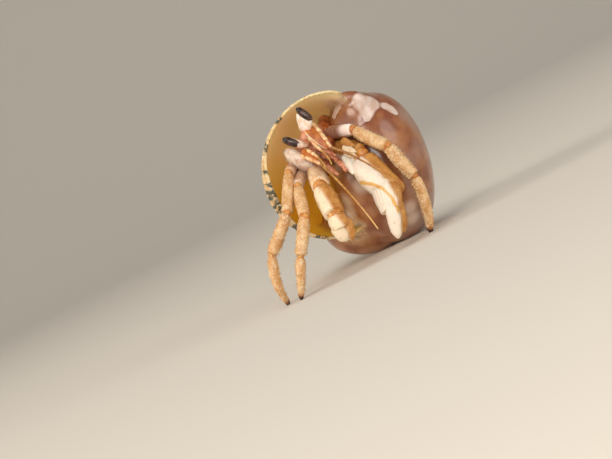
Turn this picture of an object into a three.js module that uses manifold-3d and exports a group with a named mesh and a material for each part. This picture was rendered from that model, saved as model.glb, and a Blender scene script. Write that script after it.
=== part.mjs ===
// A young land hermit crab leaning out of a glossy moon-snail shell, standing on
// the floor. Millimetres, +Z up, floor at z = 0, the crab looks towards -Y.
import * as THREE from 'three';
import Module from 'manifold-3d';

const wasm = await Module();
wasm.setup();

const TURN = 2 * Math.PI;
const vec = (x, y, z) => new THREE.Vector3(x, y, z);

// ---------------------------------------------------------------- dimensions

const GAP = 0.05;                    // clearance between neighbouring pieces
const FEELER = 0.5;                  // thickness of the thin ends of the feelers
const MIDDLE = vec(-1.91, -2.475, 0);  // middle of the model's box, on the floor

const LEFT = vec(0.84, 0.04, 0.54).normalize();   // the crab's own left
const UP = vec(-0.54, 0, 0.84).normalize();       // towards the crab's back

// Every whorl of the shell is the same oval tube, shrunk about the apex as it
// winds in. Section sizes are half widths at turn 0.
const SHELL = {
  axis: vec(-0.44, 0.43, -0.79).normalize(),      // towards the apex
  core: vec(1.2, -0.6, 8.5),                      // on the axis, level with turn 0
  growth: 2.7,                                    // size ratio of one whole turn
  reach: 3.9,                                     // tube middle to axis
  rise: 9.5,                                      // turn 0 to apex, along the axis
  wide: 6.5,
  tall: 7.9,
  wall: 0.5,
};

// The last stretch of tube opens out into an oval that lies in one plane.
const MOUTH = {
  centre: vec(-1.42, -5.5, 10.08),
  facing: vec(-0.05, -0.97, -0.22).normalize(),
  down: vec(-0.45, 0, -0.89),
  wide: 6.9,
  tall: 7.55,
  opens: 1.1,                                     // turn angle where it starts
};

// Rounded body of the shell beside the mouth, and the swelling at its top where
// the inner lip starts.
const BELLY = {
  centre: vec(2.85, -0.6, 7.5),
  axis: vec(-0.16, 0.15, -0.97).normalize(),
  wide: 5.1,
  tall: 7.6,
  deep: 5.6,
  sides: 18,
  steps: 10,
};
const SHOULDER = {
  ...BELLY,
  centre: vec(2.9, -2.7, 12.5),
  wide: 3,
  tall: 3,
  deep: 2.9,
  sides: 14,
  steps: 7,
};

// Plane that ends the outer lip where it meets that body: normal and offset.
const LIP_END = [[-0.95, 0.02, 0.31], 2.1];

// Each plate of a limb: name, length, heading and pitch in degrees, width in the
// plane the limb bends in, thickness across it, and how far the plate bows.
const LIMBS = {
  claw_left: {
    base: vec(-0.7, -3.5, 11.3),
    plates: [
      ['merus', 5.4, -66, -19, 2.9, 1.9, 0],
      ['carpus', 4.7, -62, -62, 3.4, 3.0, 0.35],
      ['palm', 2.0, -142, -58, 3.1, 2.3, 0],
    ],
  },
  claw_right: {
    base: vec(-2.9, -3.0, 10.9),
    plates: [
      ['merus', 6.0, -95, -21, 2.5, 1.9, 0],
      ['carpus', 3.5, -91, -55, 2.4, 2.2, 0.1],
      ['palm', 1.5, -93, -82, 2.0, 1.9, 0],
    ],
  },
  leg2_left: {
    base: vec(-0.8, -4.0, 13.1),
    plates: [
      ['merus', 4.7, -54, -10, 1.35, 1.1, 0],
      ['carpus', 4.0, -39, -45, 1.35, 1.25, 0.15],
      ['propodus', 3.9, 12, -75, 1.5, 1.3, 0.1],
      ['dactyl', 6.05, 123, -73, 1.25, 1.05, -0.35],
    ],
  },
  leg2_right: {
    base: vec(-3.6, -2.0, 11.2),
    plates: [
      ['merus', 5.9, -108, -14, 1.4, 1.1, 0],
      ['carpus', 3.8, -106, -46, 1.35, 1.2, 0.1],
      ['propodus', 3.9, -164, -56, 1.25, 1.15, 0],
      ['dactyl', 4.35, 159, -63, 1.1, 0.95, -0.25],
    ],
  },
  leg3_left: {
    base: vec(-0.7, -3.4, 13.3),
    plates: [
      ['merus', 4.3, -47, -15, 1.15, 1.0, 0],
      ['carpus', 3.8, -35, -48, 1.2, 1.1, 0.1],
      ['propodus', 3.8, 19, -76, 1.3, 1.15, 0.1],
      ['dactyl', 6.15, 120, -72, 1.1, 0.9, -0.35],
    ],
  },
  leg3_right: {
    base: vec(-4.1, -1.5, 11.9),
    plates: [
      ['merus', 5.1, -107, -7, 1.4, 1.1, 0],
      ['carpus', 4.4, -129, -48, 1.3, 1.2, 0.1],
      ['propodus', 4.3, -173, -42, 1.45, 1.15, 0],
      ['dactyl', 5.4, 122, -76, 1.15, 0.95, -0.9],
    ],
  },
};

// Fingers of the claws: width, thickness, and the root and tip of each, counted
// from the far end of the palm.
const FINGERS = {
  claw_left: {
    fixed: { wide: 1.1, thick: 1.3, root: vec(0.85, 0.55, 0.4), tip: vec(0.2, 0.5, -2.35) },
    dactyl: { wide: 1.5, thick: 1.3, root: vec(0.15, -0.25, 0.3), tip: vec(-0.6, -0.1, -2.6) },
  },
  claw_right: {
    fixed: { wide: 1.0, thick: 1.5, root: vec(0.45, 0.25, 0.3), tip: vec(0.45, 0.5, -1.45) },
    dactyl: { wide: 1.0, thick: 1.4, root: vec(-0.35, -0.05, 0.1), tip: vec(-0.1, 0.1, -1.3) },
  },
};

const CARAPACE = { from: vec(-1.4, 2.2, 12.0), to: vec(-2.7, -6.3, 12.9), wide: 3.3, thick: 4.9 };
const GILL_COVERS = {
  left: { from: vec(0.3, -0.6, 14.2), to: vec(-0.2, -5.6, 14.1), wide: 2.1, thick: 1.5 },
  right: { from: vec(-3.7, -1.0, 11.6), to: vec(-4.5, -6.2, 12.4), wide: 2.1, thick: 1.5 },
};
const ABDOMEN = { root: vec(-2.2, 3.0, 12.0), turns: [1.2, 1.6, 2.0], outward: 2.6, wide: 2.8 };

// Each eyestalk from root to top, and the two ends of the eye across its top.
const EYES = {
  left: {
    root: vec(-2.4, -6.0, 14.2),
    top: vec(-1.75, -7.5, 15.6),
    ends: [vec(-1.2, -7.6, 14.9), vec(-2.05, -7.6, 16.65)],
  },
  right: {
    root: vec(-2.8, -6.0, 12.9),
    top: vec(-3.95, -8.05, 13.85),
    ends: [vec(-3.4, -8.2, 13.3), vec(-4.6, -8.2, 14.6)],
  },
};
const STALK = { wide: 1.35, thick: 0.75 };
const CORNEA = 0.8;

// Feelers: start, bend and end of each stiff stem and of the thin whip on it.
const FEELERS = {
  antenna_left: {
    stem: [vec(-1.3, -5.6, 14.6), vec(-0.9, -7.7, 13.2), vec(-0.8, -9.2, 11.7)],
    wide: 0.7,
    whip: [vec(-0.75, -9.5, 11.5), vec(1.2, -11.9, 9.9), vec(2.7, -12.8, 6.7)],
  },
  antenna_right: {
    stem: [vec(-4.1, -5.6, 12.7), vec(-3.2, -7.8, 11.8), vec(-2.4, -9.4, 10.8)],
    wide: 0.7,
    whip: [vec(-2.25, -9.7, 10.6), vec(-1.0, -12.2, 6.8), vec(-0.4, -12.8, 2.9)],
  },
  antennule_left: {
    stem: [vec(-2.3, -6.3, 13.9), vec(-2.15, -8.4, 12.9), vec(-1.75, -9.7, 11.9)],
    wide: 0.55,
    whip: [vec(-1.65, -10.1, 11.7), vec(-1.4, -10.4, 11.1), vec(-1.5, -10.1, 10.3)],
  },
  antennule_right: {
    stem: [vec(-3.0, -6.3, 12.6), vec(-2.6, -8.4, 12.1), vec(-2.35, -9.5, 11.5)],
    wide: 0.55,
  },
};
const MAXILLIPEDS = {
  left: [vec(-1.0, -4.5, 10.9), vec(-0.6, -8.2, 10.3), vec(-0.5, -8.8, 9.0)],
  right: [vec(-2.1, -4.5, 10.8), vec(-1.8, -8.0, 10.1), vec(-1.4, -8.4, 9.0)],
};
const MAXILLIPED_WIDE = 0.85;

// Relative widths from root to tip.
const PROFILE = {
  merus: [0.6, 0.85, 0.97, 1, 0.98, 0.8],
  carpus: [0.66, 0.9, 0.98, 1, 1, 0.95, 0.78],
  propodus: [0.66, 0.9, 0.98, 1, 1, 0.95, 0.78],
  palm: [0.66, 0.9, 0.98, 1, 1, 0.95, 0.78],
  dactyl: [0.8, 1, 0.98, 0.92, 0.85, 0.76, 0.65, 0.5],
  finger: [0.8, 1, 1, 0.94, 0.82, 0.55],
  cornea: [0.35, 0.78, 0.95, 1, 0.95, 0.78, 0.35],
  stalk: [0.62, 0.72, 0.9, 1, 0.9],
  stem: [0.8, 1, 1, 0.95, 1, 0.8],
  whip: [0.9, 1, 1, 1, 0.95, 0.9],
  carapace: [0.72, 0.9, 1, 1, 0.97, 0.9, 0.8, 0.62],
  gill: [0.6, 0.9, 1, 0.95, 0.6],
  abdomen: [0.7, 0.95, 1, 0.9, 0.72, 0.45],
};

// ---------------------------------------------------------------- materials

const paint = (color, roughness) => new THREE.MeshStandardMaterial({ color, roughness, metalness: 0 });
const MATERIALS = {
  shell: paint('#a08a7c', 0.15),
  flesh: paint('#c98f78', 0.5),
  plate: paint('#e3c193', 0.45),
  claw: paint('#dcb271', 0.35),
  stalk: paint('#efe6dc', 0.4),
  eye: paint('#231a18', 0.08),
  feeler: paint('#c48a3c', 0.4),
};

// ---------------------------------------------------------------- solids

const oval = (centre, x, y, wide, tall, sides) => Array.from({ length: sides }, (_, k) =>
  centre.clone()
    .addScaledVector(x, wide * Math.cos(TURN * k / sides))
    .addScaledVector(y, tall * Math.sin(TURN * k / sides)));

// Closed skin over a row of rings, with a point closing each end.
function skin(rings, start, end) {
  const sides = rings[0].length;
  const points = [...rings.flat(), start, end];
  const faces = [];
  for (let row = 0; row < rings.length - 1; row++) {
    for (let i = 0; i < sides; i++) {
      const a = row * sides + i;
      const b = row * sides + (i + 1) % sides;
      faces.push(a, b, b + sides, a, b + sides, a + sides);
    }
  }
  const startPoint = points.length - 2;
  const lastRow = (rings.length - 1) * sides;
  for (let i = 0; i < sides; i++) {
    const j = (i + 1) % sides;
    faces.push(startPoint, j, i, startPoint + 1, lastRow + i, lastRow + j);
  }
  return new wasm.Manifold(new wasm.Mesh({
    numProp: 3,
    vertProperties: new Float32Array(points.flatMap((p) => p.toArray())),
    triVerts: new Uint32Array(faces),
  }));
}

// A plate of oval section between two points. `hinge` is the direction across
// the plane it bows in; `grow` swells it all round.
function plate({ from, to, wide, thick = wide, profile, hinge, bow = 0, sides = 8 }, grow = 0) {
  const along = to.clone().sub(from);
  const length = along.length();
  along.normalize();
  const side = hinge.clone().cross(along).normalize();
  const up = along.clone().cross(side);
  const spine = (s) => from.clone()
    .addScaledVector(along, s * (length + 2 * grow) - grow)
    .addScaledVector(side, bow * Math.sin(Math.PI * s));
  const rings = profile.map((share, i) => {
    const s = i / (profile.length - 1);
    const slope = spine(s + 0.01).sub(spine(s - 0.01)).normalize();
    const across = up.clone().cross(slope);
    return oval(spine(s), across, up, wide / 2 * share + grow, thick / 2 * share + grow, sides);
  });
  return skin(rings, spine(0), spine(1));
}

// A soft round body along a curve that nowhere runs along `top`.
function worm(curve, wide, profile, sides, grow = 0, top = UP) {
  const rings = profile.map((share, i) => {
    const s = i / (profile.length - 1);
    const along = curve.getTangent(s);
    const up = top.clone().projectOnPlane(along).normalize();
    const radius = wide / 2 * share + grow;
    return oval(curve.getPoint(s), up.clone().cross(along), up, radius, radius, sides);
  });
  const past = grow + 0.05;
  const start = curve.getPoint(0).addScaledVector(curve.getTangent(0), -past);
  return skin(rings, start, curve.getPoint(1).addScaledVector(curve.getTangent(1), past));
}

// An oval solid along its own axis, fuller than an ellipsoid towards its ends.
function ball({ centre, axis, wide, tall, deep, sides, steps }, grow = 0) {
  const fullness = 0.75;
  const right = vec(1, 0, -0.45).projectOnPlane(axis).normalize();
  const back = axis.clone().cross(right);
  const at = (s) => centre.clone().addScaledVector(axis, s * (tall + grow));
  const rings = Array.from({ length: steps }, (_, i) => {
    const angle = Math.PI * ((i + 0.5) / steps - 0.5);
    const girth = Math.cos(angle) ** fullness;
    return oval(at(Math.sin(angle)), right, back, (wide + grow) * girth, (deep + grow) * girth, sides);
  });
  return skin(rings, at(-1), at(1));
}

const biggest = (solid) => solid.decompose().reduce((a, b) => (b.volume() > a.volume() ? b : a));

// ---------------------------------------------------------------- placing

const pieces = [];

// Adds one piece, cut clear of every piece placed before it. `shape(grow)` makes
// it, swollen by `grow`; a walking toe is also cut off flat at the floor.
function place(group, name, material, shape, { onFloor = false } = {}) {
  let body = onFloor ? shape(0).trimByPlane([0, 0, 1], 0) : shape(0);
  const box = body.boundingBox();
  for (const other of pieces) {
    const near = [0, 1, 2].every((i) => other.box.min[i] <= box.max[i] && other.box.max[i] >= box.min[i]);
    if (near) body = body.subtract(other.grown);
  }
  body = biggest(body.simplify(0.02));
  const grown = shape(GAP);
  pieces.push({ group, name, material, body, grown, box: grown.boundingBox() });
}

// ---------------------------------------------------------------- shell

const apex = SHELL.core.clone().addScaledVector(SHELL.axis, SHELL.rise);
const shellOut = vec(-0.88, -0.3, 0.35).projectOnPlane(SHELL.axis).normalize();
const shellTurn = SHELL.axis.clone().cross(shellOut);
const mouthDown = MOUTH.down.clone().projectOnPlane(MOUTH.facing).normalize();
const mouthOut = mouthDown.clone().cross(MOUTH.facing);

// Size, outward direction and tube middle at a turn angle in radians.
function whorl(angle) {
  const size = SHELL.growth ** (-angle / TURN);
  const out = shellOut.clone().multiplyScalar(Math.cos(angle)).addScaledVector(shellTurn, Math.sin(angle));
  const middle = apex.clone()
    .addScaledVector(SHELL.axis, -SHELL.rise * size)
    .addScaledVector(out, SHELL.reach * size);
  return { size, out, middle };
}

function whorlRing(angle, inset, sides) {
  const { size, out, middle } = whorl(angle);
  const ring = oval(middle, out, SHELL.axis, SHELL.wide * size - inset, SHELL.tall * size - inset, sides);
  const lip = oval(MOUTH.centre, mouthOut, mouthDown, MOUTH.wide - inset, MOUTH.tall - inset, sides);
  const share = THREE.MathUtils.smoothstep(MOUTH.opens - angle, 0, MOUTH.opens + 0.1);
  return ring.map((p, k) => p.lerp(lip[k], share));
}

// Tube from one turn angle out to a smaller one; `past` carries it on straight
// beyond the mouth.
function tube(start, end, steps, sides, inset = 0, past = 0) {
  const rings = Array.from({ length: steps + 1 }, (_, i) =>
    whorlRing(THREE.MathUtils.lerp(end, start, i / steps), inset, sides));
  if (past) rings.push(rings[steps].map((p) => p.clone().addScaledVector(MOUTH.facing, past)));
  const middle = (ring) => ring.reduce((sum, p) => sum.add(p), vec(0, 0, 0)).divideScalar(sides);
  return skin(rings, middle(rings[0]), middle(rings[rings.length - 1]));
}

function makeShell() {
  const outside = tube(-0.1, 4.0, 14, 22);
  const hollow = tube(-0.1, 2.2, 8, 22, SHELL.wall, 0.5);
  const whorls = outside.subtract(hollow);
  const front = whorls.trimByPlane([0, -1, 0], 1).trimByPlane(...LIP_END);
  const back = whorls.trimByPlane([0, 1, 0], -1);
  const nub = {
    centre: apex.clone().addScaledVector(SHELL.axis, -1.1),
    axis: SHELL.axis,
    wide: 1,
    tall: 0.95,
    deep: 1,
    sides: 10,
    steps: 6,
  };
  const rest = [
    back,
    tube(3.9, 6.8, 7, 18),
    tube(6.7, 9.6, 5, 12),
    tube(9.5, 12, 3, 10),
    ball(nub),
    ball(BELLY),
    ball(SHOULDER),
  ];
  const whole = rest.reduce((sum, solid) => sum.add(solid), front);
  return biggest(whole.trimByPlane([0, 0, 1], 0).simplify(0.025));
}

const shell = makeShell();
pieces.push({
  group: 'shell_group',
  name: 'shell',
  material: MATERIALS.shell,
  body: shell,
  grown: shell.add(ball(BELLY, GAP)).add(ball(SHOULDER, GAP)),
  box: shell.boundingBox(),
});

// ---------------------------------------------------------------- body

place('body', 'carapace', MATERIALS.flesh, (grow) =>
  plate({ ...CARAPACE, profile: PROFILE.carapace, hinge: LEFT, sides: 12 }, grow));

for (const [side, spec] of Object.entries(GILL_COVERS)) {
  place('body', `gill_cover_${side}`, MATERIALS.flesh, (grow) =>
    plate({ ...spec, profile: PROFILE.gill, hinge: LEFT }, grow));
}

// The soft tail follows the hollow of the shell round.
const gut = new THREE.CatmullRomCurve3([
  ABDOMEN.root,
  ...ABDOMEN.turns.map((angle) => {
    const { size, out, middle } = whorl(angle);
    return middle.addScaledVector(out, ABDOMEN.outward * size);
  }),
]);
place('body', 'abdomen', MATERIALS.flesh, (grow) =>
  worm(gut, ABDOMEN.wide, PROFILE.abdomen, 10, grow, vec(0, 1, 0)));

// ---------------------------------------------------------------- limbs

function aim(heading, pitch) {
  const h = THREE.MathUtils.degToRad(heading);
  const p = THREE.MathUtils.degToRad(pitch);
  return vec(Math.cos(p) * Math.cos(h), Math.cos(p) * Math.sin(h), Math.sin(p));
}

// Where every plate of a limb starts and ends, and the direction it hinges on.
function jointed({ base, plates }) {
  const ways = plates.map(([, , heading, pitch]) => aim(heading, pitch));
  const bends = ways.slice(1).map((way, i) => ways[i].clone().cross(way));
  const hinge = bends.reduce((sum, bend) => sum.add(bend), vec(0, 0, 0)).normalize();
  let from = base;
  return plates.map(([name, length, , , wide, thick, bow], i) => {
    const to = from.clone().addScaledVector(ways[i], length);
    const spec = { name, from, to, wide, thick, bow, hinge, profile: PROFILE[name] };
    from = to;
    return spec;
  });
}

for (const [limb, spec] of Object.entries(LIMBS)) {
  const material = limb.startsWith('claw') ? MATERIALS.claw : MATERIALS.plate;
  for (const part of jointed(spec)) {
    const name = `${limb}_${part.name}`;
    if (part.name === 'palm') {
      const finger = ({ wide, thick, root, tip }, grow) => plate({
        from: part.to.clone().add(root),
        to: part.to.clone().add(tip),
        wide,
        thick,
        profile: PROFILE.finger,
        hinge: part.hinge,
      }, grow);
      const { fixed, dactyl } = FINGERS[limb];
      place(limb, name, material, (grow) => plate(part, grow).add(finger(fixed, grow)));
      place(limb, `${limb}_dactyl`, material, (grow) => finger(dactyl, grow));
    } else {
      place(limb, name, material, (grow) => plate(part, grow), { onFloor: part.name === 'dactyl' });
    }
  }
}

// ---------------------------------------------------------------- head

for (const [side, { root, top, ends }] of Object.entries(EYES)) {
  const [low, high] = ends;
  place('head', `cornea_${side}`, MATERIALS.eye, (grow) =>
    plate({ from: low, to: high, wide: CORNEA, profile: PROFILE.cornea, hinge: LEFT }, grow));
  place('head', `eyestalk_${side}`, MATERIALS.stalk, (grow) =>
    plate({ from: root, to: top, ...STALK, profile: PROFILE.stalk, hinge: LEFT }, grow));
}

for (const [name, { stem, wide, whip }] of Object.entries(FEELERS)) {
  const stemCurve = new THREE.QuadraticBezierCurve3(...stem);
  place('head', `${name}_stem`, MATERIALS.feeler, (grow) => worm(stemCurve, wide, PROFILE.stem, 6, grow));
  if (whip) {
    const whipCurve = new THREE.QuadraticBezierCurve3(...whip);
    place('head', `${name}_whip`, MATERIALS.feeler, (grow) =>
      worm(whipCurve, FEELER, PROFILE.whip, 6, grow));
  }
}

for (const [side, points] of Object.entries(MAXILLIPEDS)) {
  const curve = new THREE.QuadraticBezierCurve3(...points);
  place('head', `maxilliped_${side}`, MATERIALS.flesh, (grow) =>
    worm(curve, MAXILLIPED_WIDE, PROFILE.stem, 7, grow));
}

// ---------------------------------------------------------------- scene

function toMesh({ name, material, body }) {
  const { vertProperties, triVerts } = body.getMesh();
  const geometry = new THREE.BufferGeometry();
  geometry.setAttribute('position', new THREE.BufferAttribute(vertProperties, 3));
  geometry.setIndex(Array.from(triVerts));
  const mesh = new THREE.Mesh(geometry, material);
  mesh.name = name;
  return mesh;
}

const crab = new THREE.Group();
crab.position.copy(MIDDLE).negate();
const groups = {};
for (const piece of pieces) {
  if (!groups[piece.group]) {
    groups[piece.group] = new THREE.Group();
    crab.add(groups[piece.group]);
  }
  groups[piece.group].add(toMesh(piece));
}

export default crab;
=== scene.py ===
"""A young land hermit crab leaning out of its shell on a pale floor.

Shapes are worked out in millimetres, in the frame the limbs were measured in,
and become metres in the model's own frame when each mesh is made.
"""
import math

import bpy
import numpy as np
from mathutils import Matrix, Vector, kdtree


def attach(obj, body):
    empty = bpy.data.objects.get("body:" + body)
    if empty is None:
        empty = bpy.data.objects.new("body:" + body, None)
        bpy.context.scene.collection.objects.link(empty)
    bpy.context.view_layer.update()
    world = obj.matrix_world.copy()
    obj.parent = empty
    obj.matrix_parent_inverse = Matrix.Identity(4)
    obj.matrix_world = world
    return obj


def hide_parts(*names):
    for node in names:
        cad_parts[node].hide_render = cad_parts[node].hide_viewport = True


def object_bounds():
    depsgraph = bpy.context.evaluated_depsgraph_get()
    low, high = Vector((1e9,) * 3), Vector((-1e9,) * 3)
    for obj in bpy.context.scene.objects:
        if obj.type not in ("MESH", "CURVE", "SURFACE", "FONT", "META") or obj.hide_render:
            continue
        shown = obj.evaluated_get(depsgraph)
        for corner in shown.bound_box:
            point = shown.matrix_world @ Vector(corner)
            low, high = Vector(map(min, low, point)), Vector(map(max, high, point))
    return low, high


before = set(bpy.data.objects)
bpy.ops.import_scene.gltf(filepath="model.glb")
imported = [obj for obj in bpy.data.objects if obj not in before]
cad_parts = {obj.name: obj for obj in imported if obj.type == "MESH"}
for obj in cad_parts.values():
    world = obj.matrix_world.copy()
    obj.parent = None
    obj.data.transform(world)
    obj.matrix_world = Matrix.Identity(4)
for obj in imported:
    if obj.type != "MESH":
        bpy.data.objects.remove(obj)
cad_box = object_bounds()

MM = 0.001
MIDDLE = np.array([-1.91, -2.475, 0.0])     # what the model's frame is centred on
TURN = 2 * math.pi


def unit(v):
    return np.asarray(v, float) / np.linalg.norm(v)


def square_to(v, axis):
    """The direction nearest to v at right angles to an axis."""
    return unit(v - np.dot(v, axis) * axis)


LEFT = unit([0.84, 0.04, 0.54])             # the crab's own left
UP = unit([-0.54, 0.0, 0.84])               # towards the crab's back

# ------------------------------------------------------------------ numbers

def smoothstep(x, low=0.0, high=1.0):
    t = np.clip((x - low) / (high - low), 0, 1)
    return t * t * (3 - 2 * t)


def mix(a, b, share):
    return a + (b - a) * share


def value_noise(points, size, seed=0):
    """Smooth random values from -1 to 1 with lumps about `size` mm across."""
    p = np.asarray(points) / size
    cell = np.floor(p).astype(np.int64)
    f = p - cell
    f = f * f * (3 - 2 * f)
    total = np.zeros(len(p))
    for corner in np.ndindex(2, 2, 2):
        c = cell + corner
        h = (c[:, 0] * 73856093) ^ (c[:, 1] * 19349663) ^ (c[:, 2] * 83492791) ^ (seed * 40503)
        h = ((h ^ (h >> 13)) * 1274126177) & 0xffffffff
        h = (h ^ (h >> 16)) & 0xffff
        weight = np.prod(np.where(corner, f, 1 - f), axis=1)
        total += weight * (h / 32767.5 - 1)
    return total


def spline(values, s):
    """Catmull-Rom curve through evenly spaced values or points."""
    values = np.asarray(values, float)
    flat = values.ndim == 1
    v = values[:, None] if flat else values
    v = np.vstack([2 * v[0] - v[1], v, 2 * v[-1] - v[-2]])
    x = np.clip(np.asarray(s, float), 0, 1) * (len(values) - 1)
    i = np.minimum(x.astype(int), len(values) - 2)
    t = (x - i)[:, None]
    a, b, c, d = v[i], v[i + 1], v[i + 2], v[i + 3]
    square = (2 * a - 5 * b + 4 * c - d) * t ** 2
    out = 0.5 * (2 * b + (c - a) * t + square + (3 * b - a - 3 * c + d) * t ** 3)
    return out[:, 0] if flat else out


def bezier(a, b, c, s):
    s = np.asarray(s)[:, None]
    return (1 - s) ** 2 * np.array(a) + 2 * s * (1 - s) * np.array(b) + s ** 2 * np.array(c)


# ------------------------------------------------------------------ meshes

def make_mesh(name, verts, faces):
    """A new mesh object from points in millimetres."""
    mesh = bpy.data.meshes.new(name)
    places = (np.asarray(verts) - MIDDLE) * MM
    mesh.from_pydata(places.tolist(), [], [list(map(int, f)) for f in faces])
    mesh.update()
    mesh.polygons.foreach_set("use_smooth", [True] * len(mesh.polygons))
    return link(name, mesh)


def link(name, data):
    """Puts a mesh, lamp or camera into the scene."""
    obj = bpy.data.objects.new(name, data)
    bpy.context.scene.collection.objects.link(obj)
    return obj


def paint(obj, **values):
    """Stores named numbers on the points of a mesh, for its material to read."""
    for name, numbers in values.items():
        layer = obj.data.attributes.new(name, "FLOAT", "POINT")
        layer.data.foreach_set("value", np.asarray(numbers, np.float32))


def finish(obj, material, slot, *nodes):
    obj.data.materials.clear()
    obj.data.materials.append(material)
    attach(obj, "root")
    if nodes:
        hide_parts(*nodes)


def skin(rings):
    """Points and faces of a closed skin over rings, an array (ring, side, 3)."""
    rows, sides = rings.shape[:2]
    verts = np.vstack([rings.reshape(-1, 3), rings[0].mean(0), rings[-1].mean(0)])
    start = rows * sides
    faces = []
    for row in range(rows - 1):
        for i in range(sides):
            j = (i + 1) % sides
            a, b = row * sides, (row + 1) * sides
            faces.append((a + i, a + j, b + j, b + i))
    last = (rows - 1) * sides
    for i in range(sides):
        j = (i + 1) % sides
        faces.append((start, j, i))
        faces.append((start + 1, last + i, last + j))
    return verts, faces


def ovals(centres, x, y, wide, tall, sides, square=1.0):
    """Rings about centres; x and y are their directions, square under 1 makes them boxier."""
    a = TURN * np.arange(sides) / sides
    c = np.sign(np.cos(a)) * np.abs(np.cos(a)) ** square
    s = np.sign(np.sin(a)) * np.abs(np.sin(a)) ** square
    wide, tall = (np.broadcast_to(v, len(centres))[:, None, None] for v in (wide, tall))
    x, y = (np.broadcast_to(v, centres.shape)[:, None, :] for v in (x, y))
    return centres[:, None, :] + wide * c[None, :, None] * x + tall * s[None, :, None] * y


def radial(rings):
    """Directions away from the middle of each ring."""
    out = rings - rings.mean(1, keepdims=True)
    return out / np.maximum(np.linalg.norm(out, axis=2, keepdims=True), 1e-9)


def grid_normals(rings):
    """Outward directions of a grid of rings."""
    down = np.gradient(rings, axis=0)
    round_ = np.roll(rings, -1, 1) - np.roll(rings, 1, 1)
    n = np.cross(round_, down)
    n /= np.maximum(np.linalg.norm(n, axis=2, keepdims=True), 1e-9)
    outwards = (rings - rings.mean(1, keepdims=True)) * n
    return n * (1 if outwards.sum() > 0 else -1)


def lumpy(rings, depth, *layers):
    """Rings with lumps `depth` mm high; each layer has a size in mm, a seed and a share."""
    points = rings.reshape(-1, 3)
    relief = sum(share * value_noise(points, size, seed) for size, seed, share in layers)
    return rings + grid_normals(rings) * relief.reshape(rings.shape[:2])[..., None] * depth


def rounded(s, near, far):
    """Share of the girth left where a tube closes round at its two ends."""
    girth = np.ones_like(s)
    for gap, cap in ((s, near), (1 - s, far)):
        girth = girth * np.sqrt(1 - np.clip(1 - gap / cap, 0, 1) ** 2 * 0.98)
    return girth


def modified(obj, kind, **settings):
    """Gives the object its mesh after one modifier; settings name the modifier's properties."""
    modifier = obj.modifiers.new("shape", kind)
    for key, value in settings.items():
        setattr(modifier, key, value)
    graph = bpy.context.evaluated_depsgraph_get()
    mesh = bpy.data.meshes.new_from_object(obj.evaluated_get(graph))
    obj.modifiers.clear()
    old, obj.data = obj.data, mesh
    bpy.data.meshes.remove(old)


# ------------------------------------------------------------------ materials

def rgb(code):
    """Linear colour of a #rrggbb code."""
    parts = [int(code[i:i + 2], 16) / 255 for i in (1, 3, 5)]
    return tuple(p / 12.92 if p <= 0.04045 else ((p + 0.055) / 1.055) ** 2.4 for p in parts) + (1.0,)


SOCKETS = {"color": "Base Color", "rough": "Roughness", "normal": "Normal", "coat": "Coat Weight",
           "coat_rough": "Coat Roughness", "soft": "Subsurface Weight",
           "specular": "Specular IOR Level", "glow": "Emission Color"}


class Paint:
    """Builds one material out of shader nodes."""

    def __init__(self, name):
        self.material = bpy.data.materials.new(name)
        self.material.use_nodes = True
        self.tree = self.material.node_tree
        self.shader = self.tree.nodes["Principled BSDF"]
        self.place = self.node("ShaderNodeTexCoord").outputs["Object"]

    def node(self, kind, inputs=None, **settings):
        node = self.tree.nodes.new(kind)
        for key, value in settings.items():
            setattr(node, key, value)
        for key, value in (inputs or {}).items():
            self.set(node.inputs[key], value)
        return node

    def set(self, socket, value):
        if isinstance(value, bpy.types.NodeSocket):
            self.tree.links.new(value, socket)
        else:
            socket.default_value = rgb(value) if isinstance(value, str) else value

    def attribute(self, name):
        return self.node("ShaderNodeAttribute", attribute_name=name).outputs["Fac"]

    def along(self, axis):
        """A coordinate of the place, in metres."""
        return self.node("ShaderNodeSeparateXYZ", {"Vector": self.place}).outputs[axis]

    def noise(self, size, detail):
        """Noise from 0 to 1 with lumps of `size` mm."""
        inputs = {"Vector": self.place, "Scale": 1 / (size * MM), "Detail": detail}
        return self.node("ShaderNodeTexNoise", inputs).outputs["Fac"]

    def cells(self, size):
        inputs = {"Vector": self.place, "Scale": 1 / (size * MM)}
        return self.node("ShaderNodeTexVoronoi", inputs).outputs["Distance"]

    def math(self, operation, a, b=0.0):
        return self.node("ShaderNodeMath", {0: a, 1: b}, operation=operation).outputs[0]

    def times(self, a, b):
        return self.math("MULTIPLY", a, b)

    def ramp(self, value, low, high, to_low=0.0, to_high=1.0):
        inputs = {"Value": value, "From Min": low, "From Max": high, "To Min": to_low, "To Max": to_high}
        return self.node("ShaderNodeMapRange", inputs, interpolation_type="SMOOTHSTEP").outputs[0]

    def clouds(self, size, detail, low, high):
        """Soft patches of 0 and 1 about `size` mm across."""
        return self.ramp(self.noise(size, detail), low, high)

    def blend(self, share, a, b):
        # Sockets 0, 6 and 7 of the node are the share and its two colours, and output 2 the result.
        return self.node("ShaderNodeMix", {0: share, 6: a, 7: b}, data_type="RGBA").outputs[2]

    def bump(self, height, depth):
        """Relief `depth` mm deep."""
        inputs = {"Height": height, "Distance": depth * MM, "Strength": 1.0}
        return self.node("ShaderNodeBump", inputs).outputs["Normal"]

    def shade(self, radius=(1.0, 0.5, 0.25), reach=0.4, **inputs):
        """Sets the shader; radius and reach say how far light spreads under a soft surface."""
        for key, value in inputs.items():
            self.set(self.shader.inputs[SOCKETS[key]], value)
        if "soft" in inputs:
            self.shader.inputs["Subsurface Radius"].default_value = radius
            self.shader.inputs["Subsurface Scale"].default_value = reach * MM
        return self.material


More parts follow.
